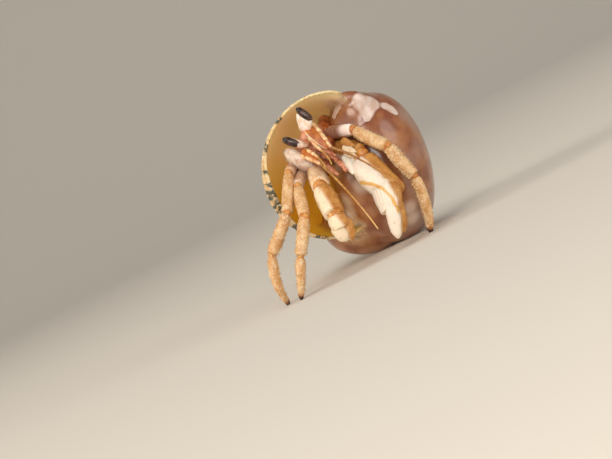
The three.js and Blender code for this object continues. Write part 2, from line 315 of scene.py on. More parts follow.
def skin_material(name, color, other, patches=(0.6, 4, 0.35, 0.65), relief=(0.15, 3, 0.02), tint=None,
                  **shine):
    """A moist surface in two colours, laid out by `patches`, with fine `relief`. tint is an
    attribute, its ramp and a third colour."""
    p = Paint(name)
    tone = p.blend(p.clouds(*patches), color, other)
    if tint:
        source, low, high, third = tint
        tone = p.blend(p.ramp(p.attribute(source), low, high), tone, third)
    if relief:
        size, detail, depth = relief
        shine["normal"] = p.bump(p.noise(size, detail), depth)
    return p.shade(color=tone, **{"rough": 0.32, "coat": 0.3, "coat_rough": 0.12, "soft": 0.35} | shine)


# ------------------------------------------------------------------ camera

# The camera looks level but for 3 degrees, and is rolled as far as the crab was.
PIXEL = 0.1                                 # mm in the photo's plane through the shell
PHOTO_WIDE = 612
FRAME_MIDDLE = np.array([306.0, 229.5])
SHELL_PIXEL = np.array([348.0, 168.0])      # where the point AIM is seen
AIM = np.array([0.0, 0.0, 8.9])
DISTANCE = 250.0
ROLL = math.radians(27)
TILT = math.radians(3)
SENSOR = 36

view_level = np.array([1.0, 0.0, 0.0])
view_up = np.array([0.0, math.sin(TILT), math.cos(TILT)])
VIEW = np.array([0.0, math.cos(TILT), -math.sin(TILT)])
ACROSS = math.cos(ROLL) * view_level - math.sin(ROLL) * view_up
UPWARD = math.sin(ROLL) * view_level + math.cos(ROLL) * view_up
shift = (FRAME_MIDDLE - SHELL_PIXEL) * PIXEL
EYE = AIM - DISTANCE * VIEW + shift[0] * ACROSS - shift[1] * UPWARD


def ray(pixel):
    """Direction from the camera through a pixel of the photo."""
    x, y = (np.array(pixel) - FRAME_MIDDLE) * PIXEL
    return unit(DISTANCE * VIEW + x * ACROSS - y * UPWARD)


def seen(points):
    """Where points are seen in the photo, in pixels."""
    away = points - EYE
    scale = DISTANCE / PIXEL / (away @ VIEW)
    return FRAME_MIDDLE + np.column_stack([away @ ACROSS, -(away @ UPWARD)]) * scale[:, None]


def beside(points, line):
    """How far to the right of a line each point is seen, in pixels. The line runs downwards."""
    places, line = seen(points), np.array(line, float)
    found = np.full(len(places), 1e9)
    for a, b in zip(line, line[1:]):
        way = b - a
        along = np.clip((places - a) @ way / way.dot(way), 0, 1)
        gap = np.linalg.norm(places - a - along[:, None] * way, axis=1)
        right = (places[:, 0] - a[0]) * way[1] > (places[:, 1] - a[1]) * way[0]
        found = np.where(gap < np.abs(found), np.where(right, gap, -gap), found)
    return found


def make_camera():
    data = bpy.data.cameras.new("camera")
    camera = link("camera", data)
    turned = Matrix(np.column_stack([ACROSS, UPWARD, -VIEW]).tolist()).to_4x4()
    camera.matrix_world = Matrix.Translation((EYE - MIDDLE) * MM) @ turned
    data.sensor_width = SENSOR
    data.lens = SENSOR * DISTANCE / (PHOTO_WIDE * PIXEL)
    data.clip_start = 0.01
    bpy.context.scene.camera = camera


# ------------------------------------------------------------------ shell

AXIS = unit([-0.44, 0.43, -0.79])           # towards the apex
CORE = np.array([1.2, -0.6, 8.5])
GROWTH = 2.7                                # size ratio of one whole turn
REACH = 3.9                                 # tube middle to axis
RISE = 9.5                                  # turn 0 to apex
WHORL_WIDE = 6.5
WHORL_TALL = 7.9
APEX = CORE + RISE * AXIS
OUT = square_to(np.array([-0.88, -0.3, 0.35]), AXIS)
ROUND = np.cross(AXIS, OUT)
# The tube is made in stretches, from one turn angle to another in so many steps.
FIRST_TURNS = (-0.1, 4.0, 150)
HOLLOW_TURNS = (-0.1, 2.2, 80)
INNER_TURNS = ((3.9, 6.8, 60), (6.7, 9.6, 40), (9.5, 12, 20))
ALL_INNER_TURNS = (3.9, 12, 120)            # the same in one stretch, to measure from
TUBE_SIDES = 160
INNER_SIDES = 90

MOUTH = np.array([-1.42, -5.5, 10.08])
FACING = unit([-0.05, -0.97, -0.22])
MOUTH_WIDE = 6.9
MOUTH_TALL = 7.55
MOUTH_OPENS = 1.1                           # turn angle where the tube starts to flare
MOUTH_DOWN = square_to(np.array([-0.45, 0.0, -0.89]), FACING)
MOUTH_OUT = np.cross(MOUTH_DOWN, FACING)
WALL = 0.5
LIP_WALL = 0.24
LIP_END = unit([-0.95, 0.02, 0.31])         # the outer lip stops at this plane
LIP_END_AT = 2.1
LIP_DEPTH = -1.0                            # only in front of this y

DOWNWARD = unit([-0.16, 0.15, -0.97])
BELLY = {"centre": [2.85, -0.6, 7.5], "axis": DOWNWARD, "size": [5.1, 7.6, 5.6]}
SHOULDER = {"centre": [2.9, -2.7, 12.5], "axis": DOWNWARD, "size": [3.0, 3.0, 2.9]}
NUB = {"centre": APEX - 1.1 * AXIS, "axis": AXIS, "size": [1.0, 0.95, 1.0]}
BRIDGE = {"centre": [3.1, -4.6, 15.15], "axis": unit([0.89, 0.2, -0.45]), "size": [0.6, 1.5, 0.9]}
RIM_SWELL = 0.65                            # extra thickness of the lip at its broadest
RIM_AT = 30                                 # where round the mouth that is, in degrees
RIM_SPREAD = 34
# The pale band along the lip: its width, how much more at its broadest, and where that is.
BAND, BAND_SWELL = 0.55, 0.75
BAND_AT, BAND_SPREAD = 32, 28
SHELL_GRAIN = 0.1                           # size of the finished mesh's faces

# Pale spots of the body whorl; the last five make a painted highlight along the inner lip's edge. Where
# each is seen, in pixels, and its radius in mm.
SPOTS_AND_HIGHLIGHT = [((361, 101), 0.85), ((371, 102), 0.85), ((366, 108), 0.8), ((367, 113), 0.6),
         ((367, 118), 0.35), ((386, 106), 0.5), ((391, 109), 0.5), ((395, 112), 0.35),
         ((345, 99), 0.25), ((341, 102), 0.3), ((338, 106), 0.4), ((336, 111), 0.38), ((334, 116), 0.32)]
SOFT_SPOTS = [((361, 186), 0.8), ((346, 202), 0.9), ((350, 211), 0.8), ((410, 208), 0.8),
              ((413, 218), 0.8), ((336, 172), 0.6), ((338, 166), 0.5)]
# Dark dashes of the lip: angle round the mouth and half width, in degrees.
DASHES = [(-38, 4), (-16, 6), (6, 3), (22, 7), (36, 5), (62, 5), (83, 5), (-100, 3)]


def spiral(angles, reach):
    """Points at turn angles of the coil, `reach` from its axis at turn 0, with the coil's size
    and the direction away from its axis at each."""
    size = GROWTH ** (-angles / TURN)
    out = np.cos(angles)[:, None] * OUT + np.sin(angles)[:, None] * ROUND
    return APEX + size[:, None] * (reach * out - RISE * AXIS), size, out


def whorl_rings(stretch, sides, inset=0.0):
    """Rings of the tube, which turns into the mouth's own oval at its open end."""
    angles = np.linspace(*stretch)
    middle, size, out = spiral(angles, REACH)
    tube = ovals(middle, out, AXIS, WHORL_WIDE * size - inset, WHORL_TALL * size - inset, sides)
    mouth = np.repeat(MOUTH[None], len(angles), 0)
    lip = ovals(mouth, MOUTH_OUT, MOUTH_DOWN, MOUTH_WIDE - inset, MOUTH_TALL - inset, sides)
    share = smoothstep(MOUTH_OPENS - angles, 0, MOUTH_OPENS + 0.1)[:, None, None]
    return mix(tube, lip, share)


def ball_rings(centre, axis, size, sides=72, steps=40):
    angle = math.pi * ((np.arange(steps) + 0.5) / steps - 0.5)
    girth = np.cos(angle) ** 0.75
    right = square_to([1, 0, -0.45], axis)
    centres = np.array(centre) + np.sin(angle)[:, None] * axis * size[1]
    return ovals(centres, right, np.cross(axis, right), size[0] * girth, size[2] * girth, sides)


def shell_block(rings):
    """A temporary closed solid over rings, facing outwards."""
    verts, faces = skin(rings)
    middle = rings.mean((0, 1))
    a, b, c = (verts[[f[k] for f in faces]] for k in range(3))
    volume = np.einsum("ij,ij->i", a - middle, np.cross(b - middle, c - middle)).sum()
    if volume < 0:
        faces = [f[::-1] for f in faces]
    mesh = bpy.data.meshes.new("block")
    mesh.from_pydata(verts.tolist(), [], faces)
    return link("block", mesh)


def lip_cutter():
    """A block over the part of the tube that would run on inside the shell's body."""
    far = 40.0
    front = np.array([0.0, -1.0, 0.0])
    flat = square_to(LIP_END, front)
    corner = -LIP_DEPTH * front + flat * (LIP_END_AT + LIP_DEPTH * LIP_END.dot(front)) / flat.dot(LIP_END)
    along = square_to(front, LIP_END)
    side = np.cross(flat, front)
    square = [corner, corner + far * along, corner + far * (along - flat), corner - far * flat]
    return shell_block(np.array([[p - far * side for p in square], [p + far * side for p in square]]))


def shell_rings():
    """Rings of the first turns' outside and of the hollow in them."""
    turns = np.linspace(*HOLLOW_TURNS)
    hollow = whorl_rings(HOLLOW_TURNS, TUBE_SIDES, mix(LIP_WALL, WALL, smoothstep(turns, -0.1, 0.6)))
    # The lip thickens into a broad rim at the lower left of the mouth.
    around = (360 * np.arange(TUBE_SIDES) / TUBE_SIDES + 180) % 360 - 180
    swell = RIM_SWELL * np.exp(-((around - RIM_AT) / RIM_SPREAD) ** 2)
    swell = swell * smoothstep(-turns, -0.5, 0.0)[:, None]
    return whorl_rings(FIRST_TURNS, TUBE_SIDES), hollow + swell[..., None] * -radial(hollow)


def make_shell_mesh(outer, hollow):
    tube = shell_block(outer)
    cutter = lip_cutter()
    room = shell_block(np.concatenate([hollow[:1] + 0.5 * FACING, hollow]))
    for tool in (room, cutter):
        modified(tube, "BOOLEAN", object=tool, operation="DIFFERENCE", solver="MANIFOLD")
    rest = [whorl_rings(stretch, INNER_SIDES) for stretch in INNER_TURNS]
    rest += [ball_rings(**ball) for ball in (BELLY, SHOULDER, NUB, BRIDGE)]
    blocks = [shell_block(rings) for rings in rest]
    for tool in (room, cutter):
        bpy.data.objects.remove(tool)
    with bpy.context.temp_override(active_object=tube, selected_editable_objects=[tube, *blocks]):
        bpy.ops.object.join()
    modified(tube, "REMESH", mode="VOXEL", voxel_size=SHELL_GRAIN)
    return tube


def distances(points, places):
    """Distance from each point to the nearest place, and which place that is."""
    tree = kdtree.KDTree(len(places))
    for i, place in enumerate(places):
        tree.insert(place, i)
    tree.balance()
    found = [tree.find(p) for p in points]
    return np.array([f[2] for f in found]), np.array([f[1] for f in found])


def points_of(obj):
    values = np.empty(len(obj.data.vertices) * 3)
    obj.data.vertices.foreach_get("co", values)
    return values.reshape(-1, 3)


def smoothed(obj, weights, rounds):
    """Smooths a mesh where the weights, in tenths, say so."""
    group = obj.vertex_groups.new(name="smooth")
    for level in range(1, 11):
        chosen = np.flatnonzero(np.round(weights * 10).astype(int) == level)
        group.add(chosen.tolist(), level / 10, "REPLACE")
    modified(obj, "SMOOTH", factor=0.5, iterations=rounds, vertex_group="smooth")
    obj.vertex_groups.clear()


def evened(obj, values, weights, rounds):
    """Spreads a value out over a mesh, where the weights say so."""
    ends = np.empty(2 * len(obj.data.edges), np.int64)
    obj.data.edges.foreach_get("vertices", ends)
    a, b = ends.reshape(-1, 2).T
    neighbours = np.bincount(ends, minlength=len(values))
    for _ in range(rounds):
        total = np.bincount(a, values[b], len(values)) + np.bincount(b, values[a], len(values))
        values = mix(values, total / neighbours, weights)
    return values


def still_there(points):
    """Which points of the whole tube are left once its lip is cut off."""
    return (points @ LIP_END > LIP_END_AT) | (points[:, 1] > LIP_DEPTH)


def nearness(obj, points, spots, wobble):
    """Distance from each point to the nearest spot, in spot radii."""
    eye = Vector((EYE - MIDDLE) * MM)
    nearest = np.full(len(points), 9.0)
    for pixel, radius in spots:
        hit, place, *_ = obj.ray_cast(eye, Vector(ray(pixel)))
        if hit:
            centre = np.array(place) / MM + MIDDLE
            away = np.linalg.norm(points - centre, axis=1) * wobble / radius
            nearest = -np.log(np.exp(-5 * nearest) + np.exp(-5 * away)) / 5
    return nearest


def smooth_shell(obj, lip_edge):
    """Whorls run into each other in soft hollows, but the lip stays crisp."""
    points = points_of(obj)
    to_lip, _ = distances(points, lip_edge)
    in_mouth = smoothstep(-(points @ FACING) + MOUTH @ FACING, 0.0, 3.5)
    smoothed(obj, smoothstep(to_lip, 0.6, 3.0) * in_mouth, 160)
    at_end = smoothstep(-np.abs(points @ LIP_END - LIP_END_AT), -1.3, -0.3)
    smoothed(obj, at_end * smoothstep(-points[:, 1], -0.5, 1.0), 200)
    smoothed(obj, np.ones(len(points)), 6)
    return to_lip


def shell_zones(obj, points, outer, hollow, old_to_lip):
    """How far each point is inside the mouth and on the body whorl, and its angle round the mouth."""
    inner = whorl_rings(ALL_INNER_TURNS, INNER_SIDES)
    whorls = np.concatenate([rings.reshape(-1, 3) for rings in (outer, inner)])
    turn_of = TURN * np.concatenate([np.tile(np.arange(rings.shape[1]) / rings.shape[1], len(rings))
                                     for rings in (outer, inner)])
    kept = still_there(whorls)
    balls = [ball_rings(**ball, sides=110, steps=70).reshape(-1, 3) for ball in (BELLY, SHOULDER, BRIDGE)]
    inside_points = hollow[:, ::2].reshape(-1, 3)
    d_outer, outer_at = distances(points, whorls[kept])
    d_inner, _ = distances(points, inside_points[still_there(inside_points)])
    d_belly, _ = distances(points, np.concatenate(balls))
    inside = smoothstep(np.minimum(d_outer, d_belly) - d_inner, -0.05, 0.1)
    # The two colours run into each other near the belly and at the lip's lower end.
    low = smoothstep(9 - points[:, 2], 0.0, 1.0)
    past_end = LIP_END_AT - points @ LIP_END
    lower_end = low * smoothstep(past_end, -1.6, -0.2) * smoothstep(LIP_DEPTH - points[:, 1], 0.0, 0.8)
    near_end = low * smoothstep(past_end, -6, -4) * smoothstep(old_to_lip, 0.7, 1.4)
    soft = np.maximum(smoothstep(-d_belly, -2.2, -1.0), near_end)
    inside = evened(obj, inside * (1 - lower_end), soft, 60)
    body = smoothstep(np.minimum(d_outer, d_inner) - d_belly, -0.1, 0.4)
    return inside, body, np.degrees((turn_of[kept][outer_at] + math.pi) % TURN - math.pi)


def make_shell():
    outer, hollow = shell_rings()
    obj = make_shell_mesh(outer, hollow)
    lip_edge = np.concatenate([outer[0], hollow[0]])
    lip_edge = lip_edge[lip_edge @ LIP_END > LIP_END_AT + 1.6 * (lip_edge[:, 2] < 9)]
    old_to_lip = smooth_shell(obj, lip_edge)
    points = points_of(obj)
    points[:, 2] = np.maximum(points[:, 2], 0)
    inside, body, lip_turn = shell_zones(obj, points, outer, hollow, old_to_lip)
    to_lip, _ = distances(points, lip_edge)

    obj.data.vertices.foreach_set("co", ((points - MIDDLE) * MM).ravel())
    obj.data.polygons.foreach_set("use_smooth", [True] * len(obj.data.polygons))
    obj.data.update()
    obj.name = obj.data.name = "shell_skin"
    bpy.context.evaluated_depsgraph_get()   # the rays need the new points

    wobble = 1 + 0.12 * value_noise(points, 1.3, 3) + 0.04 * value_noise(points, 0.5, 4)
    # Pale spots, and a painted highlight along the inner lip's edge.
    spots = nearness(obj, points, SPOTS_AND_HIGHLIGHT, wobble)
    faint = nearness(obj, points, SOFT_SPOTS, 1.0)
    dash = np.zeros(len(points))
    for centre, half in DASHES:
        gap = np.abs((lip_turn - centre + 180) % 360 - 180)
        dash = np.maximum(dash, smoothstep(half + 2.5 * value_noise(points, 0.4, 7) - gap, -1.5, 1.5))
    band = BAND + BAND_SWELL * np.exp(-((lip_turn - BAND_AT) / BAND_SPREAD) ** 2)
    paint(obj, inside=inside, body=body, lip=to_lip, rim=to_lip / band, spots=spots, faint=faint, dash=dash)
    finish(obj, shell_material(), "shell", "shell")


def shell_material():
    p = Paint("shell")
    names = ("inside", "body", "lip", "rim", "dash", "spots", "faint")
    inside, body, lip, rim, dash, spots, faint = (p.attribute(name) for name in names)
    height, back = p.along("Z"), p.along("Y")
    mark = p.times(dash, p.clouds(0.5, 3, 0.40, 0.52))

    brown = p.blend(p.clouds(1.8, 4, 0.35, 0.65), "#85492a", "#a56d42")
    brown = p.blend(p.clouds(4.0, 2, 0.45, 0.7), brown, "#a58270")
    brown = p.blend(p.times(p.ramp(faint, 1.5, 0.3), 0.8), brown, "#d8c2ae")
    blotches = p.times(p.clouds(3.0, 2, 0.56, 0.66), p.ramp(back, 1 * MM, 4 * MM))
    brown = p.blend(p.times(blotches, 0.75), brown, "#dcc6b2")
    outer = p.blend(p.clouds(0.25, 3, 0.3, 0.7), "#c79f6c", "#e6cda0")
    outer = p.blend(p.times(mark, p.ramp(lip, 2.2, 1.2)), outer, "#4f5347")
    base = p.blend(p.ramp(lip, 0.8, 3.0), outer, brown)
    base = p.blend(body, base, brown)
    edge = p.times(p.ramp(spots, 1.5, 1.2), p.ramp(spots, 0.9, 1.1))
    base = p.blend(p.times(p.times(edge, body), 0.55), base, "#7a3c18")
    # The pale spots are milky; the chain of them along the inner lip's edge is a painted highlight.
    milk_and_highlight = p.blend(p.clouds(0.7, 3, 0.35, 0.65), "#d8c4ba", "#c9ab98")
    base = p.blend(p.times(p.ramp(spots, 1.2, 0.82), body), base, milk_and_highlight)

    gold = p.blend(p.ramp(height, 7 * MM, 12 * MM), "#f5d048", "#f0d87c")
    gold = p.blend(p.ramp(height, 11.5 * MM, 15 * MM), gold, "#f3e2c0")
    gold = p.blend(p.ramp(rim, 1.1, 0.7), gold, "#ecd7ae")
    gold = p.blend(p.times(mark, p.ramp(rim, 0.95, 0.75)), gold, "#59594b")

    # Painted glow: an emission in the mouth stands in for daylight that comes through the thin wall and
    # faintly lights it up.
    through = p.blend(p.ramp(height, 9 * MM, 14 * MM), "#4c3606", "#57452c")
    through = p.blend(p.times(inside, p.ramp(rim, 0.7, 1.6)), "#000000", through)
    p.shader.inputs["Emission Strength"].default_value = 1.0
    return p.shade(color=p.blend(inside, base, gold), glow=through, rough=0.26, coat=0.5, coat_rough=0.17,
                   soft=p.ramp(inside, 0.0, 1.0, 0.35, 0.9), radius=(1.0, 0.8, 0.4), reach=0.8,
                   normal=p.bump(p.noise(0.35, 2), 0.003))


# ------------------------------------------------------------------ plates

# Each plate of a limb: name, length, heading and pitch in degrees, width in the
# plane the limb bends in, thickness across it, and how far the plate bows.
LIMBS = {
    "claw_left": ([-0.7, -3.5, 11.3], [
        ("merus", 5.4, -66, -19, 2.9, 1.9, 0),
        ("carpus", 4.7, -62, -62, 3.4, 3.0, 0.35),
        ("palm", 2.0, -142, -58, 3.1, 2.3, 0)]),
    "claw_right": ([-2.9, -3.0, 10.9], [
        ("merus", 6.0, -95, -21, 2.5, 1.9, 0),
        ("carpus", 3.5, -91, -55, 2.4, 2.2, 0.1),
        ("palm", 1.5, -93, -82, 2.0, 1.9, 0)]),
    "leg2_left": ([-0.8, -4.0, 13.1], [
        ("merus", 4.7, -54, -10, 1.35, 1.1, 0),
        ("carpus", 4.0, -39, -45, 1.35, 1.25, 0.15),
        ("propodus", 3.9, 12, -75, 1.5, 1.3, 0.1),
        ("dactyl", 6.05, 123, -73, 1.25, 1.05, -0.35)]),
    "leg2_right": ([-3.6, -2.0, 11.2], [
        ("merus", 5.9, -108, -14, 1.4, 1.1, 0),
        ("carpus", 3.8, -106, -46, 1.35, 1.2, 0.1),
        ("propodus", 3.9, -164, -56, 1.25, 1.15, 0),
        ("dactyl", 4.35, 159, -63, 1.1, 0.95, -0.25)]),
    "leg3_left": ([-0.7, -3.4, 13.3], [
        ("merus", 4.3, -47, -15, 1.15, 1.0, 0),
        ("carpus", 3.8, -35, -48, 1.2, 1.1, 0.1),
        ("propodus", 3.8, 19, -76, 1.3, 1.15, 0.1),
        ("dactyl", 6.15, 120, -72, 1.1, 0.9, -0.35)]),
    "leg3_right": ([-4.1, -1.5, 11.9], [
        ("merus", 5.1, -107, -7, 1.4, 1.1, 0),
        ("carpus", 4.4, -129, -48, 1.3, 1.2, 0.1),
        ("propodus", 4.3, -173, -42, 1.45, 1.15, 0),
        ("dactyl", 5.4, 122, -76, 1.15, 0.95, -0.9)]),
}
# Fingers: width, thickness, and root and tip counted from the far end of the palm.
FINGERS = {
    "claw_left": {"fixed": (1.1, 1.3, [0.85, 0.55, 0.4], [0.2, 0.5, -2.35]),
                  "dactyl": (1.5, 1.3, [0.15, -0.25, 0.3], [-0.6, -0.1, -2.6])},
    "claw_right": {"fixed": (1.0, 1.5, [0.45, 0.25, 0.3], [0.45, 0.5, -1.45]),
                   "dactyl": (1.0, 1.4, [-0.35, -0.05, 0.1], [-0.1, 0.1, -1.3])},
}
PROFILE = {
    "merus": [0.66, 0.85, 0.97, 1, 1.0, 0.9],
    "carpus": [0.7, 0.88, 0.96, 1, 1, 0.97, 0.9],
    "propodus": [0.74, 0.9, 0.97, 1, 0.98, 0.94, 0.88],
    "palm": [0.74, 0.9, 0.98, 1, 1, 0.97, 0.9],
    "hand": [0.9, 1, 0.98, 0.92, 0.82, 0.72],
    "dactyl": [0.78, 0.98, 0.98, 0.92, 0.84, 0.72, 0.54, 0.2],
    "finger": [0.8, 1, 1, 0.94, 0.78, 0.42],
    "joint": [0.7, 0.95, 1, 0.95, 0.7],
    "scale": [0.9, 1, 0.95, 0.75, 0.4, 0.12],
    "fan": [0.55, 0.75, 0.9, 1, 1, 0.9],
}
FINE = 0.07                                 # face size of the plates' meshes
RIBS = 22                                   # round a ribbed plate
JOINT_SHARES = {"wide": 0.8, "thick": 0.82}     # size of the soft joints, as a share of the plates'
JOINT_REACH = 0.3                           # share of the joint's width, to each side
# The claws are pale to the left of these lines and gold or tan to their right, as seen in
# the photo. The yellow seam across the larger claw follows the last line.
CLAW_SPLIT = {
    "claw_left": [(355, 149), (377, 169), (388, 180), (392, 188), (398, 198), (400, 211),
                  (402, 219), (403, 245)],
    "claw_right": [(312, 178), (320, 189), (328, 198), (332, 206), (338, 215), (344, 224),
                   (349, 233), (353, 250)],
}
CLAW_SEAM = [(361, 182.5), (371, 184), (383, 188.5), (392, 198), (398.5, 210.5)]
SEAM_HALF = 1.6                             # pixels

# How rough and hairy plates are. Grains: size and height in mm, number for each mm2, and
# the angles of coarser rows in turns. Hairs: share of the grains that have one, and length.
# deep: the share of a plate, from its root, that is painted dark as shade.
LEG_LOOKS = {
    "merus": {"density": 6, "height": 0.035, "deep": 0.22},
    "carpus": {"density": 11, "height": 0.07, "rows": (0.1, 0.9), "hairs": (0.15, 0.3)},
    "propodus": {"density": 13, "height": 0.08, "rows": (0.05, 0.2, 0.8, 0.95), "hairs": (0.35, 0.34)},
}
LEG_LOOKS["dactyl"] = LEG_LOOKS["propodus"]
INNER_SIDE = -UP * 0.6 - LEFT * 0.75 + np.array([0, -0.25, 0])      # where the claws are pale
CLAW_LOOK = {"grain": 0.13, "height": 0.04, "density": 5, "pale": INNER_SIDE}
CLAW_HAIRS = {"claw_left": (0.12, 0.35), "claw_right": (0.45, 0.6)}
FINGER_LOOK = {"grain": 0.1, "height": 0.03, "density": 6, "hairs": (0.2, 0.3), "pale": INNER_SIDE}
PAINTED_SHADE_SHARE = 0.68                                 # how much of the front leg's upper plate, from its root, is painted dark as shade
# Caps are the shares of a plate's length that close round at its two ends.
LEG_CAPS = (0.1, 0.085)
TOE_CAPS = (0.09, 0.02)
DOME_CAPS = (0.07, 0.14)
DOME_SLANT = 0.95
DOME_LONGER = 0.3
HAND_BACK = 0.9                             # how far the larger hand reaches back under the dome
HAND_WIDE = 3.0

# Colours of the plates: base, dark, grains, joints and pale side; then how far the joints'
# colour reaches in mm, and roughness.
HORNS = {
    "leg_horn": ("#dcba8b", "#c8965e", "#f0dcbe", "#b06a26", "#f3e6cf", 0.32, 0.36),
    "thigh_horn": ("#d8bba2", "#c6956f", "#ecdac8", "#b06a26", "#f4e4da", 0.32, 0.36),
    "claw_horn": ("#c28c46", "#a96c28", "#d9ad6c", "#c08a2a", "#efe3d2", 0.2, 0.42),
    "claw_cream": ("#ecd2ae", "#d9ad7a", "#f6e8d2", "#c07a2a", "#f0e3d0", 0.16, 0.42),
    "claw_tan": ("#cb9450", "#b3742c", "#e2bf8c", "#b87430", "#ecdabc", 0.16, 0.42),
    "claw_white": ("#efe2cb", "#e2c9a2", "#f6ecda", "#d9a63c", "#f6ecdc", 0.12, 0.42),
}
# Scales and the ribbed fan beside the larger claw's wrist: ends, width, thickness.
CLAW_SCALES = [([0.45, -7.4, 11.9], [1.3, -9.0, 10.85], 0.75, 0.3),
               ([0.3, -7.7, 11.3], [1.2, -9.1, 10.25], 0.8, 0.3),
               ([0.3, -7.8, 10.8], [1.05, -9.1, 9.7], 0.8, 0.3)]
CLAW_FAN = ([0.0, -7.5, 10.5], [0.5, -8.9, 8.5], 1.35, 0.5)


def aim(heading, pitch):
    h, p = math.radians(heading), math.radians(pitch)
    return np.array([math.cos(p) * math.cos(h), math.cos(p) * math.sin(h), math.sin(p)])


def plate(name, start, end, wide, thick, hinge, **more):
    """What plate_rings and make_plate need to know about a plate."""
    return {"name": name, "start": np.array(start), "end": np.array(end), "wide": wide, "thick": thick,
            "hinge": hinge, "profile": PROFILE[name]} | more


def jointed(limb):
    """Every plate of a limb with its two ends, the direction it hinges on and the way that the
    plate before it runs."""
    base, plates = LIMBS[limb]
    start = np.array(base)
    ways = [aim(heading, pitch) for _, _, heading, pitch, *_ in plates]
    hinge = unit(sum(np.cross(a, b) for a, b in zip(ways, ways[1:])))
    before = ways[0]
    found = []
    for (name, length, _, _, wide, thick, bow), way in zip(plates, ways):
        end = start + length * way
        found.append(plate(name, start, end, wide, thick, hinge, bow=bow, before=before))
        start, before = end, way
    return found


def plate_rings(start, end, wide, thick, profile, hinge, bow=0.0, square=1.0, caps=(0.07, 0.045),
                slant=0.0, **_):
    """Rings of a rounded plate and the share of its length each ring lies at; with slant its
    far end is cut obliquely, longer on the crab's outer side."""
    length = np.linalg.norm(end - start)
    along = (end - start) / length
    side = unit(np.cross(hinge, along))
    up = np.cross(along, side)
    rows = max(int(length / FINE), 12)
    s = 0.5 - 0.5 * np.cos(np.linspace(0.02, math.pi - 0.02, rows))
    spine = start + s[:, None] * length * along + bow * np.sin(math.pi * s)[:, None] * side
    slope = np.gradient(spine, axis=0)
    slope /= np.linalg.norm(slope, axis=1, keepdims=True)
    girth = spline(profile, s) * rounded(s, *caps)
    sides = max(int(math.pi * (wide + thick) / 2 / FINE), 16)
    x = np.cross(up, slope)
    rings = ovals(spine, x, up, wide / 2 * girth, thick / 2 * girth, sides, square)
    if slant:
        offset = (rings - spine[:, None]) @ ACROSS
        rings = rings + (slant * offset * smoothstep(s, 0.35, 1.0)[:, None])[..., None] * along
    return rings, s


def roughen(rings, s, seed, grain, height, count, rows):
    """Raises fine tubercles on rings. Returns the rings, how much grain is at each point, and
    the place and direction of each tubercle. rows are angles, as shares of a turn, of coarser rows."""
    rng = np.random.default_rng(seed)
    normals = grid_normals(rings)
    n_rings, sides = rings.shape[:2]
    at = np.column_stack([rng.integers(2, n_rings - 2, count), rng.integers(0, sides, count)])
    size = rng.uniform(0.6, 1.1, count)
    for turn in rows:
        places = np.arange(0.1, 0.95, 2.4 * grain / max(np.ptp(rings.mean(1), axis=0).max(), 1e-6))
        rings_at = np.searchsorted(s, places).clip(1, n_rings - 2)
        column = (np.round(turn * sides + rng.normal(0, 0.012 * sides, len(places))).astype(int)) % sides
        at = np.vstack([at, np.column_stack([rings_at, column])])
        size = np.append(size, np.full(len(places), 1.5))
    centres = rings[at[:, 0], at[:, 1]]
    away, which = distances(rings.reshape(-1, 3), centres)
    share = smoothstep(1 - away / (grain * size[which]))
    lift = (share * height * size[which]).reshape(n_rings, sides, 1)
    return rings + normals * lift, share, centres, normals[at[:, 0], at[:, 1]]


def past_edge(rings, s, pale, pale_from):
    """How far inside the pale side each point lies."""
    return radial(rings) @ unit(pale) - mix(*pale_from, s)[:, None]


def make_plate(name, spec, material, slot, seed, node=None, grain=0.12, height=0.05, density=9.0, rows=(),
               hairs=None, pale=None, pale_from=(0.0, 0.0), facet=0.0, ridges=0.0, split=None, deep=0.0):
    """One horny plate, with its grains, joint colour and pale side stored on it. pale_from sets
    how far round that side reaches at each end, facet flattens it and ridges runs ribs along it.
    split names the claw whose line parts the colours instead. deep is the share of the plate, from its
    root, that lies in the dark between the limbs and is painted dark brown as shade."""
    rings, s = plate_rings(**spec)
    if pale is not None:
        facing = np.clip(past_edge(rings, s, pale, pale_from) - 0.1, 0, 1)
        ribs = np.cos(TURN * RIBS * np.arange(rings.shape[1]) / rings.shape[1])[None, :]
        relief = ridges * ribs * smoothstep(facing, 0.0, 0.3) - facet * facing
        rings = rings + grid_normals(rings) * relief[..., None]
    length = np.linalg.norm(spec["end"] - spec["start"])
    rings = lumpy(rings, 0.03, (0.7, seed, 1))
    count = int(density * length * (spec["wide"] + spec["thick"]) * 1.5)
    rings, grains, centres, normals = roughen(rings, s, seed, grain, height, count, rows)
    rings[..., 2] = np.maximum(rings[..., 2], 0)
    verts, faces = skin(rings)
    obj = make_mesh(name, verts, faces)

    along = np.append(np.repeat(s, rings.shape[1]), [0, 1])
    side, seam, shade = np.zeros((3, len(verts)))
    toe = np.full(len(verts), 9.0)
    if split:
        wander = 0.9 * value_noise(verts, 0.5, seed + 5)
        side = smoothstep(wander - beside(verts, CLAW_SPLIT[split]), -1.2, 3.0)
        if split == "claw_left":
            gap = np.abs(beside(verts, CLAW_SEAM))
            seam = smoothstep(SEAM_HALF + 0.6 * wander - gap, -0.4, 0.5)
    elif pale is not None:
        wander = 0.08 * value_noise(rings.reshape(-1, 3), 0.5, seed + 5)
        side[:-2] = smoothstep(past_edge(rings, s, pale, pale_from).ravel() + wander, 0.0, 0.2)
    if slot == "leg" and spec["name"] == "dactyl":
        toe = (1 - along) * length
    # Painted shade: the plate's root, where it lies in the dark between the limbs.
    if deep:
        shade = smoothstep(deep - along, -0.12, 0.12)
    near_joint = np.minimum(along, 1 - along) * length
    paint(obj, joint=near_joint, grain=np.append(grains, [0, 0]), pale=side, toe=toe, seam=seam, deep=shade)
    finish(obj, material, slot, *([node] if node else []))
    if hairs:
        add_hairs(centres, normals, unit(spec["end"] - spec["start"]), hairs, seed)


